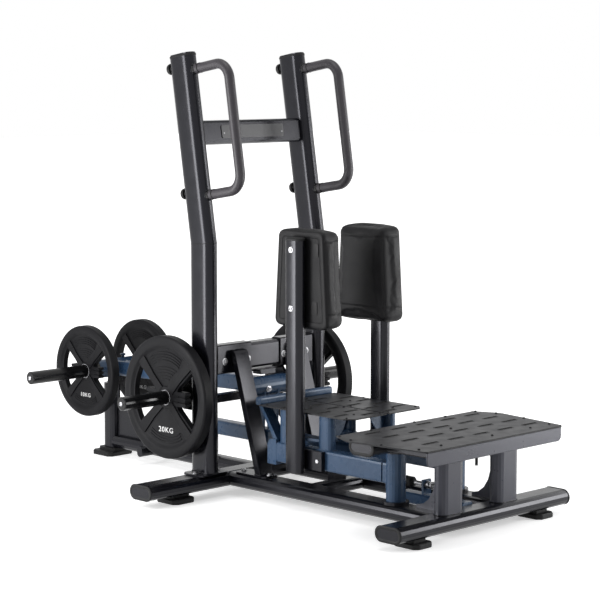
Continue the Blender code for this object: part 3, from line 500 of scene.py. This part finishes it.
def hex_bolt(body, place, axis, r, mat=ZINC):
    """Washer, six-sided head with a turned top, and a spring washer under it."""
    bm = hardware(body, mat)
    spin(bm, [(0, 0), (r * 1.65, 0), (r * 1.70, 0.0007), (r * 1.65, 0.0015), (0, 0.0015)], place, axis)
    spin(bm, [(0, 0.0014), (r * 1.25, 0.0014), (r * 1.25, 0.0032), (0, 0.0032)], place, axis, 20)
    spin(bm, [
        (0, 0.0030), (r * 1.12, 0.0030), (r * 1.12, 0.0030 + r * 0.62), (r * 1.00, 0.0030 + r * 0.72),
        (0, 0.0030 + r * 0.72)], place, axis, 6)


def stop_thread():
    """Thread and lock nuts on the stop bolt, in front of its carrier."""
    low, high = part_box("stop_bolt")
    start = Vector((0, low.y, (low.z + high.z) / 2))
    reach = high.y - low.y
    for share in (0.30, 0.52):
        place = start + Vector((0, reach * share, 0))
        bm = hardware("frame", ZINC)
        spin(bm, [
            (BOLT_R, 0), (0.0115, 0), (0.0120, 0.0012), (0.0120, 0.0078), (0.0115, 0.0090), (BOLT_R, 0.0090)],
            place, BACK, 6)
        spin(bm, [(BOLT_R, -0.0018), (0.0140, -0.0018), (0.0140, 0), (BOLT_R, 0)], place, BACK, 28)
    profile = []
    for k in range(int(reach * 0.86 / PITCH)):
        profile += [(BOLT_R, k * PITCH), (0.0074, (k + 0.5) * PITCH)]
    spin(hardware("frame", STEEL), profile, start + Vector((0, reach * 0.07, 0)), BACK, 20)


def slot_lips_painted_shade(name, body, centres, length, z):
    """Raised lips round a tread's slots, black as painted shade that widens the dark of the slots."""
    bm = bmesh.new()
    outer = oval(length + 0.010, SLOT_W + 0.012, steps=6)
    inner = oval(length, SLOT_W, steps=6)
    for x, y in centres:
        lofted(bm, [
            [at(x + a, y + b, z + rise) for a, b in outline]
            for outline, rise in ((outer, 0.0001), (outer, 0.0005), (inner, 0.0009), (inner, -0.004))])
    piece(name, bm, body, RUBBER)


def slot_rims():
    """Lips of the slots in the step and in both foot treads, and a dark strip on the step's front edge, all
    black as painted shade.
    """
    centres = [(c * 0.128 + 0.032, y) for y in (-0.358, -0.441, -0.528, -0.618) for c in range(-2, 3)]
    # Painted shade: black lips round the step's slots make them look wider and darker.
    slot_lips_painted_shade("step_slot_lips", "frame", centres, 0.070, STEP_TOP)
    # Thin black strip painted as the shade along the step tread's front edge.
    bm = bmesh.new()
    slab(bm, [(-0.3445, -0.0052), (0.3445, -0.0052), (0.3445, -0.0002), (-0.3445, -0.0002)], 0.0005,
         Matrix.Translation(at(0, -0.7146, STEP_TOP)) @ Matrix.Rotation(math.radians(90), 4, "X"))
    piece("step_front_edge", bm, "frame", RUBBER)
    for side, s in SIDES:
        centres = []
        for row in range(5):
            for x, shift in ((0.053, 0), (0.1465, 0.043)):
                y = 0.169 - row * 0.086 - shift
                if y > -0.199:
                    centres.append((s * x, y))
        # Painted shade: black lips round the foot treads' slots.
        slot_lips_painted_shade(side + "_tread_slot_lips", side + "_arm", centres, 0.062, TREAD_TOP)


def fasteners():
    """Bolts, screws, plugs and studs, gathered into one piece for each body and finish."""
    for side, s in SIDES:
        out = (s, 0, 0)
        arm = side + "_arm"
        for t in (-1, 1):
            hex_bolt("frame", at(s * UPRIGHT_X + t * 0.052, REAR_Y, BAR_TOP + FLANGE), UP, 0.0075)
        for y in (0.222, 0.356):
            hex_bolt("frame", at(s * RAIL_X, y, RAIL_TOP + FLANGE), UP, 0.0070)
        for x in (0.092, 0.206):
            cap_screw("frame", at(s * x, 0.3985, 0.4900), FRONT, 0.0085)
        for x in (0.075, 0.235):
            cap_screw("frame", at(s * x, 0.4645, 0.4985), BACK, 0.0075)
        for z in JOINTS_Z:
            spin(hardware("frame", RUBBER), [
                (0, -0.0010), (0.013, -0.0010), (0.0130, 0.0050), (0.0195, 0.0065), (0.0210, 0.0110),
                (0.0195, 0.0180), (0.0150, 0.0225), (0.0070, 0.0245), (0, 0.0248)],
                on_lean(s * UPRIGHT_X, z, -TUBE_D / 2), -LEAN_OUT, 32)
        cap_screw("frame", at(s * 0.579, 0.540, 0.361), out, 0.0085, STEEL, False)
        cap_screw("lever", at(s * 0.428, 1.276, 0.356), out, 0.0085, STEEL, False)
        for z in (0.924, 0.719):
            cap_screw(arm, at(s * (POST_X + POST_T / 2 + CROWN), POST_Y, z), out, 0.0066, STEEL)
        hex_bolt(arm, at(s * 0.1925, -0.066, 0.186), out, 0.0070, STEEL)
        for x, y in ((0.180, 0.205), (0.020, 0.205), (0.183, 0.075), (0.100, 0.062), (0.100, -0.150),
                     (0.176, -0.188), (0.020, -0.200), (0.018, -0.020)):
            cap_screw(arm, at(s * x, y, TREAD_TOP), UP, 0.0046, RUBBER, False)
        for x, y in ((0.348, -0.322), (0.372, -0.398), (0.366, -0.530), (0.335, -0.668), (0.190, -0.318),
                     (0.230, -0.670)):
            cap_screw("frame", at(s * x, y, STEP_TOP), UP, 0.0050, RUBBER, False)
    for y in (-0.318, -0.486, -0.670):
        cap_screw("frame", at(0.028, y, STEP_TOP), UP, 0.0050, RUBBER, False)
    for x in (-0.145, 0.145):
        flat_screw("frame", on_lean(x, 1.316, 0.0330), LEAN_OUT, 0.0030)
    # The short stud with its disc, between the front posts under the step.
    spin(hardware("frame", RUBBER), [(0, 0), (0.0050, 0), (0.0050, 0.050), (0, 0.050)],
         at(0, FRONT_Y, 0.224), UP, 16)
    spin(hardware("frame", BLACK), [(0, 0), (0.016, 0), (0.016, 0.004), (0, 0.004)],
         at(0, FRONT_Y, 0.270), UP, 20)
    hex_bolt("lever", at(-0.019, LEVER_Y - 0.0360, LEVER_Z - 0.008), (0, -1, -0.2), 0.0075, STEEL)
    stop_thread()
    for (body, look), bm in HARDWARE.items():
        piece(body + "_" + look + "_hardware", bm, body, bpy.data.materials[look])


# ---------------------------------------------------------------- frame details

WELD_R = 0.0019
WELD_OUT = 0.0008  # how far a bead's middle line stands off its tube
BEND_SEAM_R = 0.0011
LEAN_UP = Vector((0, math.sin(LEAN), math.cos(LEAN)))
LEAN_OUT = Vector((0, -math.cos(LEAN), math.sin(LEAN)))
BEND = at(0, UPRIGHT_Y, BEND_Z)


def on_lean(x, z, out):
    """Point at height z on a leaning upright, out from its middle line towards the front."""
    along = (z - BEND_Z - out * math.sin(LEAN)) / math.cos(LEAN)
    return Vector((x, 0, 0)) + BEND + LEAN_UP * along + LEAN_OUT * out


def bend_ring(s):
    """Outline of an upright's skin on the slanted plane of its bend."""
    place = at(s * UPRIGHT_X, UPRIGHT_Y, BEND_Z)
    return [place + Vector((x, y, -y * math.tan(LEAN / 2))) for x, y in crowned(TUBE_T, TUBE_D, SKIN)]


def upright_end(s):
    """Stance at the top end of an upright, along its lean."""
    return Matrix.Translation(on_lean(s * UPRIGHT_X, UPRIGHT_TOP, 0)) @ Matrix.Rotation(-LEAN, 4, "X")


def rolled_skins():
    """Outer skins of the uprights and pad posts, with the soft bulge of rolled flat-oval tube."""
    for side, s in SIDES:
        outline = crowned(TUBE_T, TUBE_D, SKIN)
        foot = at(s * UPRIGHT_X, UPRIGHT_Y, BAR_TOP + FLANGE + SKIN)
        bm = bmesh.new()
        lofted(bm, [
            [foot + Vector((x, y, 0)) for x, y in outline], bend_ring(s),
            ring_at(outline, upright_end(s), -0.005)])
        piece(side + "_upright_skin", bm, "frame", BLACK, sharp=60)
        bm = bmesh.new()
        lofted(bm, [
            [at(s * POST_X + x, POST_Y + y, z) for x, y in crowned(POST_T, POST_D, SKIN)]
            for z in (POST_LOW, POST_TOP - 0.001)])
        piece(side + "_pad_post_skin", bm, side + "_arm", BLACK, sharp=60)


def bead(points):
    """Run of a weld: the points of a closed outline, rippled as a welder leaves them."""
    path = []
    for a, b in zip(points, points[1:] + points[:1]):
        steps = max(1, int((b - a).length / 0.0022))
        path += [a + (b - a) * (i / steps) for i in range(steps)]
    middle = sum(points, Vector()) / len(points)
    return [p + (p - middle).normalized() * 0.0006 * math.sin(k * 1.9) for k, p in enumerate(path)]


def handles():
    """Bent grips with two turned ferrules at each joint to the upright."""
    for side, s in SIDES:
        start = TUBE_D / 2 + SKIN
        foot, head = [(z - BEND_Z - start * math.sin(LEAN)) / math.cos(LEAN) for z in JOINTS_Z]
        reach = GRIP_OUT - GRIP_BEND
        path = [(foot, start), (foot, start + 0.02)]
        path += arc((foot + GRIP_BEND, reach), GRIP_BEND, 180, 90, 20)
        path += arc((head - GRIP_BEND, reach), GRIP_BEND, 90, 0, 20)
        path += [(head, start + 0.02), (head, start)]
        origin = Vector((s * UPRIGHT_X, 0, 0)) + BEND
        grip = tubes(
            side + "_grip", [[origin + LEAN_UP * a + LEAN_OUT * o for a, o in path]], GRIP_R, "frame", GRIP,
            round_steps=10)
        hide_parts(side + "_handle")
        bm = bmesh.new()
        for along in (foot, head):
            place = origin + LEAN_UP * along + LEAN_OUT * start
            spin(bm, [
                (0.0165, 0.0002), (GRIP_R + 0.0016, 0.0002), (GRIP_R + 0.0018, 0.0100),
                (GRIP_R + 0.0004, 0.0112), (GRIP_R - 0.002, 0.0112)], place, LEAN_OUT, 40)
            spin(bm, [
                (GRIP_R - 0.001, 0.0260), (GRIP_R + 0.0011, 0.0262), (GRIP_R + 0.0011, 0.0300),
                (GRIP_R - 0.001, 0.0302)], place, LEAN_OUT, 40)
        piece(side + "_grip_ferrules", bm, "frame", SLEEVE)


def welds():
    """Rippled beads round the joints of the tubes, one piece for each body."""
    beads = {}

    def add(body, outline, place):
        beads.setdefault(body, []).append(bead(ring_at(outline, standing(place, UP))))

    for side, s in SIDES:
        add("frame", crowned(TUBE_T, TUBE_D, WELD_OUT), at(s * UPRIGHT_X, UPRIGHT_Y, BAR_TOP + 0.0075))
        for z in (BAR_TOP + 0.0010, STEP_TOP - 0.0070):
            add("frame", oval(TUBE_D, TUBE_T, WELD_OUT), at(s * 0.142, FRONT_Y, z))
        add("frame", rounded(0.068, 0.032, 0.006), at(s * 0.148, 0.255, RAIL_TOP + 0.0075))
        for y in (-0.072, 0.123):
            add(side + "_arm", oval(0.040, 0.066, WELD_OUT), at(s * RAIL_X, y, 0.2230))
        for z in JOINTS_Z:
            # A grip's weld follows the upright's round front.
            place = on_lean(s * UPRIGHT_X, z, TUBE_D / 2)
            turns = [2 * math.pi * k / 40 for k in range(40)]
            beads["frame"].append(bead([
                place + LEAN_UP * GRIP_R * 1.06 * math.cos(t)
                + Vector((1, 0, 0)) * GRIP_R * 1.06 * math.sin(t)
                - LEAN_OUT * 0.0010 * (1 - math.cos(2 * t)) * 1.5
                for t in turns]))
    for body, paths in beads.items():
        tubes(body + "_welds", paths, WELD_R, body, BLUE if body.endswith("_arm") else BLACK, closed=True)


def bend_seams():
    """Fine joint line round each upright at its bend."""
    tubes("upright_seams", [bend_ring(s) for _, s in SIDES], BEND_SEAM_R, "frame", RUBBER, closed=True)


def end_caps():
    """Moulded plugs in the open ends of the flat-oval tubes."""
    rows = ((-0.0030, 0.0012), (0.0012, 0.0014), (0.0020, 0.0006), (0.0026, -0.0014), (0.0026, -0.0090),
            (0.0012, -0.0105), (0.0012, -0.0200))
    for side, s in SIDES:
        for name, x, y, z in (
                ("_front_plug", 0.4345, FRONT_Y, BAR_Z),
                ("_rear_plug", 0.5835, REAR_Y, BAR_Z),
                ("_step_plug", 0.3225, PIVOT_Y, STEP_TOP - 0.0053 - TUBE_T / 2)):
            stance = sideways(at(s * x, y, z), s)
            rings = [ring_at(oval(TUBE_D, TUBE_T, grow), stance, rise) for rise, grow in rows]
            plug(side + name, rings, "frame")


def post_caps():
    """Moulded plugs on the pad posts."""
    rows = ((-0.006, -0.0010), (-0.0004, -0.0010), (-0.0002, 0.0008), (0.0045, 0.0008), (0.0080, -0.0016),
            (0.0095, -0.0060), (0.0100, -0.0120))
    for side, s in SIDES:
        rings = [
            [at(s * POST_X + x, POST_Y + y, POST_TOP + rise) for x, y in crowned(POST_T, POST_D, grow)]
            for rise, grow in rows]
        plug(side + "_post_plug", rings, side + "_arm")


def upright_caps():
    """Moulded plugs in the top ends of the uprights."""
    rows = ((-0.006, 0.0012), (0.0002, 0.0013), (0.0016, 0.0002), (0.0022, -0.004), (0.0022, -0.012))
    for side, s in SIDES:
        rings = [ring_at(crowned(TUBE_T, TUBE_D, grow), upright_end(s), rise) for rise, grow in rows]
        plug(side + "_upright_plug", rings, "frame")


# ---------------------------------------------------------------- weight plates

PLATE_STEPS = 96
WINDOW_HALF = 36  # degrees
WINDOW_OUTER = 0.775  # shares of the plate's radius
WINDOW_INNER = 0.30
PLATE_SHARP = 32  # degrees


def plate_mesh():
    """Weight plate of radius 1 and thickness 1 lying in XY: hub, web and rim, with two open windows."""
    bm = bmesh.new()
    front = [
        (0.118, -0.30), (0.118, 0.30), (0.126, 0.36), (0.175, 0.36), (0.190, 0.26), (0.780, 0.26),
        (0.800, 0.30), (0.830, 0.44), (0.850, 0.485), (0.900, 0.50), (0.960, 0.485), (0.985, 0.44),
        (1.0, 0.36)]
    rings = []
    for r, h in front + [(r, -h) for r, h in reversed(front[1:])]:
        turns = [2 * math.pi * k / PLATE_STEPS for k in range(PLATE_STEPS)]
        rings.append([bm.verts.new((r * math.cos(t), r * math.sin(t), h)) for t in turns])
    joined(bm, rings + rings[:1])
    bmesh.ops.recalc_face_normals(bm, faces=bm.faces)
    disc = from_bmesh("plate_disc", bm)
    bm = bmesh.new()
    for turn in (0, 180):
        window = arc((0, 0), WINDOW_OUTER, turn - WINDOW_HALF, turn + WINDOW_HALF, 16)
        window.append(polar(WINDOW_INNER * 1.12, turn + 30))
        window += arc((0, 0), WINDOW_INNER, turn + 22, turn - 22, 6)
        window.append(polar(WINDOW_INNER * 1.12, turn - 30))
        slab(bm, window, 2.0, Matrix.Translation((0, 0, -1.0)))
    bmesh.ops.recalc_face_normals(bm, faces=bm.faces)
    cutter = from_bmesh("plate_cutter", bm)
    modifier = disc.modifiers.new("windows", "BOOLEAN")
    modifier.object = cutter
    modifier.operation = "DIFFERENCE"
    modifier.solver = "EXACT"
    result = bpy.data.meshes.new_from_object(disc.evaluated_get(bpy.context.evaluated_depsgraph_get()))
    bpy.data.objects.remove(disc)
    bpy.data.objects.remove(cutter)
    return result


def bowed(centre, radius, thick, turn, half, steps):
    """Outline of a bar bowed round a centre, over half a spread in degrees to each side of its turn."""
    return (arc(centre, radius + thick / 2, turn - half, turn + half, steps)
            + arc(centre, radius - thick / 2, turn + half, turn - half, steps))


def plate_relief(bm, face):
    """Spokes, ribs and side blocks that stand on one face of the plate."""
    flip = Matrix.Diagonal((1, face, face, 1))

    def raised(outline, height, low=0.24):
        slab(bm, outline, height, flip @ Matrix.Translation((0, 0, low)))

    sections = [(0.16, 0.075), (0.45, 0.062), (0.83, 0.085)]
    for turn in (45, 135, 225, 315):
        c, d = polar(1, turn)
        spoke = [
            (c * along - d * half, d * along + c * half)
            for along, half in sections + [(a, -h) for a, h in reversed(sections)]]
        raised(spoke[::-1], 0.150)
    for turn in (90, 270):
        for k, r in enumerate((0.60, 0.645, 0.69, 0.735)):
            # The innermost rib is left out where the front face has its number.
            if turn == 90 or face == -1 or k > 0:
                raised(bowed((0, 0), r, 0.022, turn, 33 - k * 0.6, 14), 0.075)
        if turn == 90:
            for k in range(5):
                y = 0.30 + k * 0.048
                raised(bowed((0, -0.25), y + 0.25, 0.020, 90, 10 + (y - 0.30) * 55, 8), 0.06)
    for c in (-1, 1):
        for y in (-0.088, 0, 0.088):
            block = [(c * x, y + dy) for x, dy in (
                (0.18, -0.032), (0.46, -0.032), (0.485, -0.016), (0.485, 0.016), (0.46, 0.032),
                (0.18, 0.032))]
            raised(block[::c], 0.300, 0.0)
        core = [(c * x, y) for x, y in ((0.16, -0.112), (0.45, -0.112), (0.45, 0.112), (0.16, 0.112))]
        raised(core[::c], 0.200, 0.0)


def plates():
    """The four plates with their bore rings and numbers: radius, thickness, inner face, Y, Z and number."""
    unit = plate_mesh()
    for kind, radius, thick, inner, y, z, mark in (
            ("large", 0.225, 0.045, 0.335, 0.540, 0.361, "20KG"),
            ("small", 0.180, 0.041, 0.1239, 1.276, 0.356, "10KG")):
        for side, s in SIDES:
            name = side + "_" + kind + "_plate"
            body = name + "_body"
            bm = bmesh.new()
            bm.from_mesh(unit)
            for face in (1, -1):
                plate_relief(bm, face)
            bmesh.ops.recalc_face_normals(bm, faces=bm.faces)
            bmesh.ops.scale(bm, vec=(radius, radius, thick), verts=bm.verts)
            middle = at(s * (inner + thick / 2), y, z)
            # The plate's X runs to the reader's right, seen from outside.
            bmesh.ops.transform(bm, matrix=sideways(middle, s, across=s), verts=bm.verts)
            cast = piece(name + "_cast", bm, body, PLATE, sharp=PLATE_SHARP)
            soften = cast.modifiers.new("soft_edges", "BEVEL")
            soften.width = 0.0011
            soften.segments = 2
            soften.limit_method = "ANGLE"
            soften.angle_limit = math.radians(PLATE_SHARP)
            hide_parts(name)
            ring = bmesh.new()
            for t in (-1, 1):
                spin(ring, [
                    (0.0262, -0.002), (0.0278, -0.002), (0.0278, 0.0004), (0.0274, 0.0008), (0.0266, 0.0008),
                    (0.0262, 0.0004)], middle + Vector((t * s * thick * 0.36, 0, 0)), (t * s, 0, 0), 48)
            piece(name + "_bore_ring", ring, body, STEEL)
            label(name + "_mark", mark, radius, middle, s, thick, body)
            label(name + "_inner_mark", mark, radius, middle, -s, thick, body)


def label(name, words, radius, middle, facing, thick, body):
    """Weight number on the plate's lower fan, read from the side it faces."""
    text = bpy.data.curves.new(name, "FONT")
    text.body = words
    text.align_x = "CENTER"
    text.align_y = "CENTER"
    text.size = radius * 0.120
    text.offset = radius * 0.0010
    text.space_character = 1.14
    text.extrude = 0.0004
    text.materials.append(PAINT)
    obj = linked(name, text)
    place = middle + Vector((facing * (thick * 0.26 + 0.0004), 0, -radius * 0.535))
    obj.matrix_world = sideways(place, facing, across=facing) @ Matrix.Diagonal((1.16, 1.0, 1.0, 1.0))
    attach(obj, body)


# ---------------------------------------------------------------- cushions

VOXEL = 0.005
PUFF_CAP = 0.005
PUFF_PRESSURE = 4
CLOTH_FRAMES = 20
HELD_DEPTH = 0.006  # the part of the cover that stays flat round its board
SEAM_R = 0.0006
STITCH_R = 0.00035


def apply_all(obj):
    mesh = bpy.data.meshes.new_from_object(obj.evaluated_get(bpy.context.evaluated_depsgraph_get()))
    obj.modifiers.clear()
    old = obj.data
    obj.data = mesh
    bpy.data.meshes.remove(old)


def swell(obj, s):
    """Voxel remesh, then inflate as cloth; the back stays flat on its board and the movement is capped."""
    remesh = obj.modifiers.new("remesh", "REMESH")
    remesh.mode = "VOXEL"
    remesh.voxel_size = VOXEL
    apply_all(obj)
    rest = [v.co.copy() for v in obj.data.vertices]
    pins = obj.vertex_groups.new(name="board")
    pins.add([v.index for v in obj.data.vertices if v.co.x * s > PAD_OUTER - HELD_DEPTH], 1.0, "REPLACE")
    cloth = obj.modifiers.new("cloth", "CLOTH")
    cloth.settings.quality = 5
    cloth.settings.use_pressure = True
    cloth.settings.uniform_pressure_force = PUFF_PRESSURE
    cloth.settings.effector_weights.gravity = 0
    cloth.settings.vertex_group_mass = "board"
    cloth.point_cache.frame_end = CLOTH_FRAMES
    for frame_number in range(1, CLOTH_FRAMES + 1):
        bpy.context.scene.frame_set(frame_number)
    apply_all(obj)
    for vert, start in zip(obj.data.vertices, rest):
        moved = vert.co - start
        if moved.length > PUFF_CAP:
            vert.co = start + moved * (PUFF_CAP / moved.length)
    bpy.context.scene.frame_set(1)
    finer = obj.modifiers.new("finer", "SUBSURF")
    finer.levels = 1
    finer.render_levels = 1
    apply_all(obj)


def pad_half_width(z):
    share = (z - PAD_LOW) / (PAD_TOP - PAD_LOW)
    return (PAD_WIDE + (PAD_NARROW - PAD_WIDE) * share) / 2


def pad_ring(s, x, inset, r):
    """One rounded outline of the cushion, which narrows towards its top."""
    ring = []
    for sy, sz, z, start in ((1, 1, PAD_TOP, 0), (-1, 1, PAD_TOP, 90), (-1, -1, COVER_LOW, 180),
                             (1, -1, COVER_LOW, 270)):
        half = pad_half_width(z) - inset
        corner = arc((PAD_Y + sy * (half - r), z - sz * (r + inset)), r, start, start + 90, 8)
        ring += [at(s * x, y, height) for y, height in corner]
    return ring


def cushion_form(name, s):
    """Wrapped block from the board's outer face to the front, before it is swollen."""
    bm = bmesh.new()
    rows = ((0, 0.007), (0.002, 0.003), (0.006, 0.0008), (0.012, 0), (0.060, 0), (0.074, 0.0015),
            (0.083, 0.005), (0.089, 0.011), (0.0925, 0.019), (0.0940, 0.030))
    lofted(bm, [
        pad_ring(s, PAD_OUTER - depth, inset, max(0.024 - inset * 0.3, 0.012)) for depth, inset in rows],
        closed=True)
    bmesh.ops.recalc_face_normals(bm, faces=bm.faces)
    return from_bmesh(name, bm)


def seam_paths(tree, s):
    """Points on the cushion, with their normals, along its two level seams and its two corner seams."""
    middle = s * (PAD_OUTER - PAD_T * 0.55)
    paths = []
    for z in (PAD_TOP - 0.036, PAD_LOW + 0.046):
        run = []
        for k in range(241):
            a = math.radians(-118 + 236 * k / 240)
            far = Vector((middle - s * math.cos(a) * 0.3, PAD_Y - SHIFT + math.sin(a) * 0.3, z))
            toward = Vector((middle, PAD_Y - SHIFT, z)) - far
            hit, normal, _, _ = tree.ray_cast(far, toward.normalized())
            if hit and hit.x * s < PAD_OUTER - HELD_DEPTH:
                run.append((hit, normal))
        paths.append(run)
    for t in (-1, 1):
        run = []
        for k in range(141):
            z = PAD_LOW + 0.018 + (PAD_TOP - PAD_LOW - 0.036) * k / 140
            corner = Vector((s * (PAD_OUTER - PAD_T), PAD_Y - SHIFT + t * pad_half_width(z), z))
            far = corner + Vector((-s, t, 0)) * 0.1
            hit, normal, _, _ = tree.ray_cast(far, Vector((s, -t, 0)).normalized())
            if hit:
                run.append((hit, normal))
        paths.append(run)
    return paths


def crease(obj, paths, depth, reach):
    """Draws the cover in along its seams."""

    def cell_of(point):
        return tuple(int(math.floor(c / reach)) for c in point)

    cells = {}
    for run in paths:
        for hit, _ in run:
            cells.setdefault(cell_of(hit), []).append(hit)
    around = [(x, y, z) for x in (-1, 0, 1) for y in (-1, 0, 1) for z in (-1, 0, 1)]
    for vert in obj.data.vertices:
        x, y, z = cell_of(vert.co)
        near = reach
        for dx, dy, dz in around:
            for point in cells.get((x + dx, y + dy, z + dz), ()):
                near = min(near, (point - vert.co).length)
        if near < reach:
            vert.co -= vert.normal * depth * (1 - (near / reach) ** 2) ** 2


def stitch_points(tree, paths):
    """Ends of the short stitches that run beside each seam."""
    stitches = []
    for run in paths:
        level = abs(run[0][0].z - run[-1][0].z) < 0.01
        offset = Vector((0, 0, 1) if level else (0, 1, 0)) * 0.0035
        for k in range(2, len(run) - 3, 3):
            hits = [tree.find_nearest(run[j][0] + offset)[:2] for j in (k, k + 2)]
            stitches.append([hit + normal * 0.0001 for hit, normal in hits])
    return stitches


def pads():
    """Wrapped cushions, each over its foam and board, with seams, stitches and the back's border."""
    for side, s in SIDES:
        body = side + "_arm"
        cushion = cushion_form(side + "_cushion", s)
        swell(cushion, s)
        tree = BVHTree.FromObject(cushion, bpy.context.evaluated_depsgraph_get())
        paths = seam_paths(tree, s)
        crease(cushion, paths, 0.0018, 0.007)
        cushion.data.update()
        for polygon in cushion.data.polygons:
            polygon.use_smooth = True
        cushion.data.materials.clear()
        cushion.data.materials.append(LEATHER)
        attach(cushion, body)
        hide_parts(side + "_pad", side + "_pad_board")
        seams = [[point - normal * 0.0011 for point, normal in run] for run in paths]
        tubes(side + "_seams", seams, SEAM_R, body, THREAD)
        tubes(side + "_stitches", stitch_points(tree, paths), STITCH_R, body, THREAD, round_steps=1)
        pad_back(side, s, body)


def pad_back(side, s, body):
    """Folded border of the cover on the board's outer face, and two moulded tabs."""
    bm = bmesh.new()
    rows = ((-0.0020, 0.0030), (0.0006, 0.0045), (0.0018, 0.0075), (0.0019, 0.0150), (0.0016, 0.0230),
            (0.0006, 0.0250), (-0.0012, 0.0255))
    lofted(bm, [
        pad_ring(s, PAD_OUTER + rise, inset, max(0.024 - inset * 0.5, 0.010)) for rise, inset in rows])
    border = piece(side + "_cover_fold", bm, body, LEATHER, sharp=70)
    bm = bmesh.new()
    for y, z in ((-0.055, 0.924), (-0.049, 0.722)):
        slab(bm, rounded(0.026, 0.046, 0.005), 0.0030, sideways(at(s * (PAD_OUTER - 0.0005), y, z), s))
    piece(side + "_pad_tabs", bm, body, RUBBER, soft=0.0008)


# ---------------------------------------------------------------- studio


def scene_camera():
    data = bpy.data.cameras.new("camera")
    data.lens = LENS
    data.sensor_width = 36
    camera = linked("camera", data)
    camera.location = CAMERA_AT
    camera.rotation_euler = (CAMERA_TILT, 0, CAMERA_TURN)
    bpy.context.scene.camera = camera


def light(name, place, size, power, aim=(0, 0, 0.7)):
    data = bpy.data.lights.new(name, "AREA")
    data.shape = "RECTANGLE"
    data.size, data.size_y = size
    data.energy = power
    lamp = linked(name, data)
    lamp.location = place
    lamp.rotation_euler = (Vector(aim) - Vector(place)).to_track_quat("-Z", "Y").to_euler()
    lamp.visible_camera = False


def seen_directly(tree):
    """One for camera, glossy and transmission rays, which see the plain white backdrop."""
    path = tree.nodes.new("ShaderNodeLightPath").outputs
    seen = math_node(tree, "MAXIMUM", path["Is Camera Ray"], path["Is Glossy Ray"])
    return math_node(tree, "MAXIMUM", seen, path["Is Transmission Ray"])


def white_floor():
    """Ground that takes soft shadows near the machine and glows into the white backdrop away from it."""
    bpy.ops.mesh.primitive_plane_add(size=60, location=(0, 0, 0))
    floor = bpy.context.object
    floor.name = "floor"
    mat = bpy.data.materials.new("floor")
    mat.use_nodes = True
    tree = mat.node_tree
    shader = tree.nodes["Principled BSDF"]
    shader.inputs["Base Color"].default_value = (0.90, 0.90, 0.90, 1)
    shader.inputs["Roughness"].default_value = 0.8
    coords = tree.nodes.new("ShaderNodeTexCoord")
    length = tree.nodes.new("ShaderNodeVectorMath")
    length.operation = "LENGTH"
    tree.links.new(coords.outputs["Object"], length.inputs[0])
    away = ranged(tree, length.outputs["Value"], 1.2, 2.8, 0.45, 1.0)
    glow = tree.nodes.new("ShaderNodeEmission")
    tree.links.new(math_node(tree, "MULTIPLY", away, seen_directly(tree)), glow.inputs["Strength"])
    both = tree.nodes.new("ShaderNodeAddShader")
    tree.links.new(shader.outputs["BSDF"], both.inputs[0])
    tree.links.new(glow.outputs["Emission"], both.inputs[1])
    tree.links.new(both.outputs["Shader"], tree.nodes["Material Output"].inputs["Surface"])
    floor.data.materials.append(mat)


def studio():
    """White world, four lamps and the floor; the lamps stand where the tubes' faces mirror them."""
    world = bpy.data.worlds.new("studio")
    bpy.context.scene.world = world
    world.use_nodes = True
    tree = world.node_tree
    background = tree.nodes["Background"]
    background.inputs["Color"].default_value = (1, 1, 1, 1)
    tree.links.new(ranged(tree, seen_directly(tree), 0, 1, 0.38, 1.0), background.inputs["Strength"])
    light("key", (-2.35, 0.92, 1.04), (0.95, 1.9), 76, (-0.2, 0, 0.9))
    light("side", (3.0, -1.3, 1.3), (0.8, 1.6), 18)
    light("front", (2.1, -2.5, 0.98), (0.90, 1.9), 64)
    light("top", (-0.4, -0.4, 4.2), (1.8, 1.8), 40)
    white_floor()


scene_camera()
studio()
dress_frame()
handles()
rolled_skins()
upright_caps()
post_caps()
end_caps()
bend_seams()
slot_rims()
welds()
fasteners()
plates()
pads()
bpy.context.scene.view_settings.view_transform = "Standard"
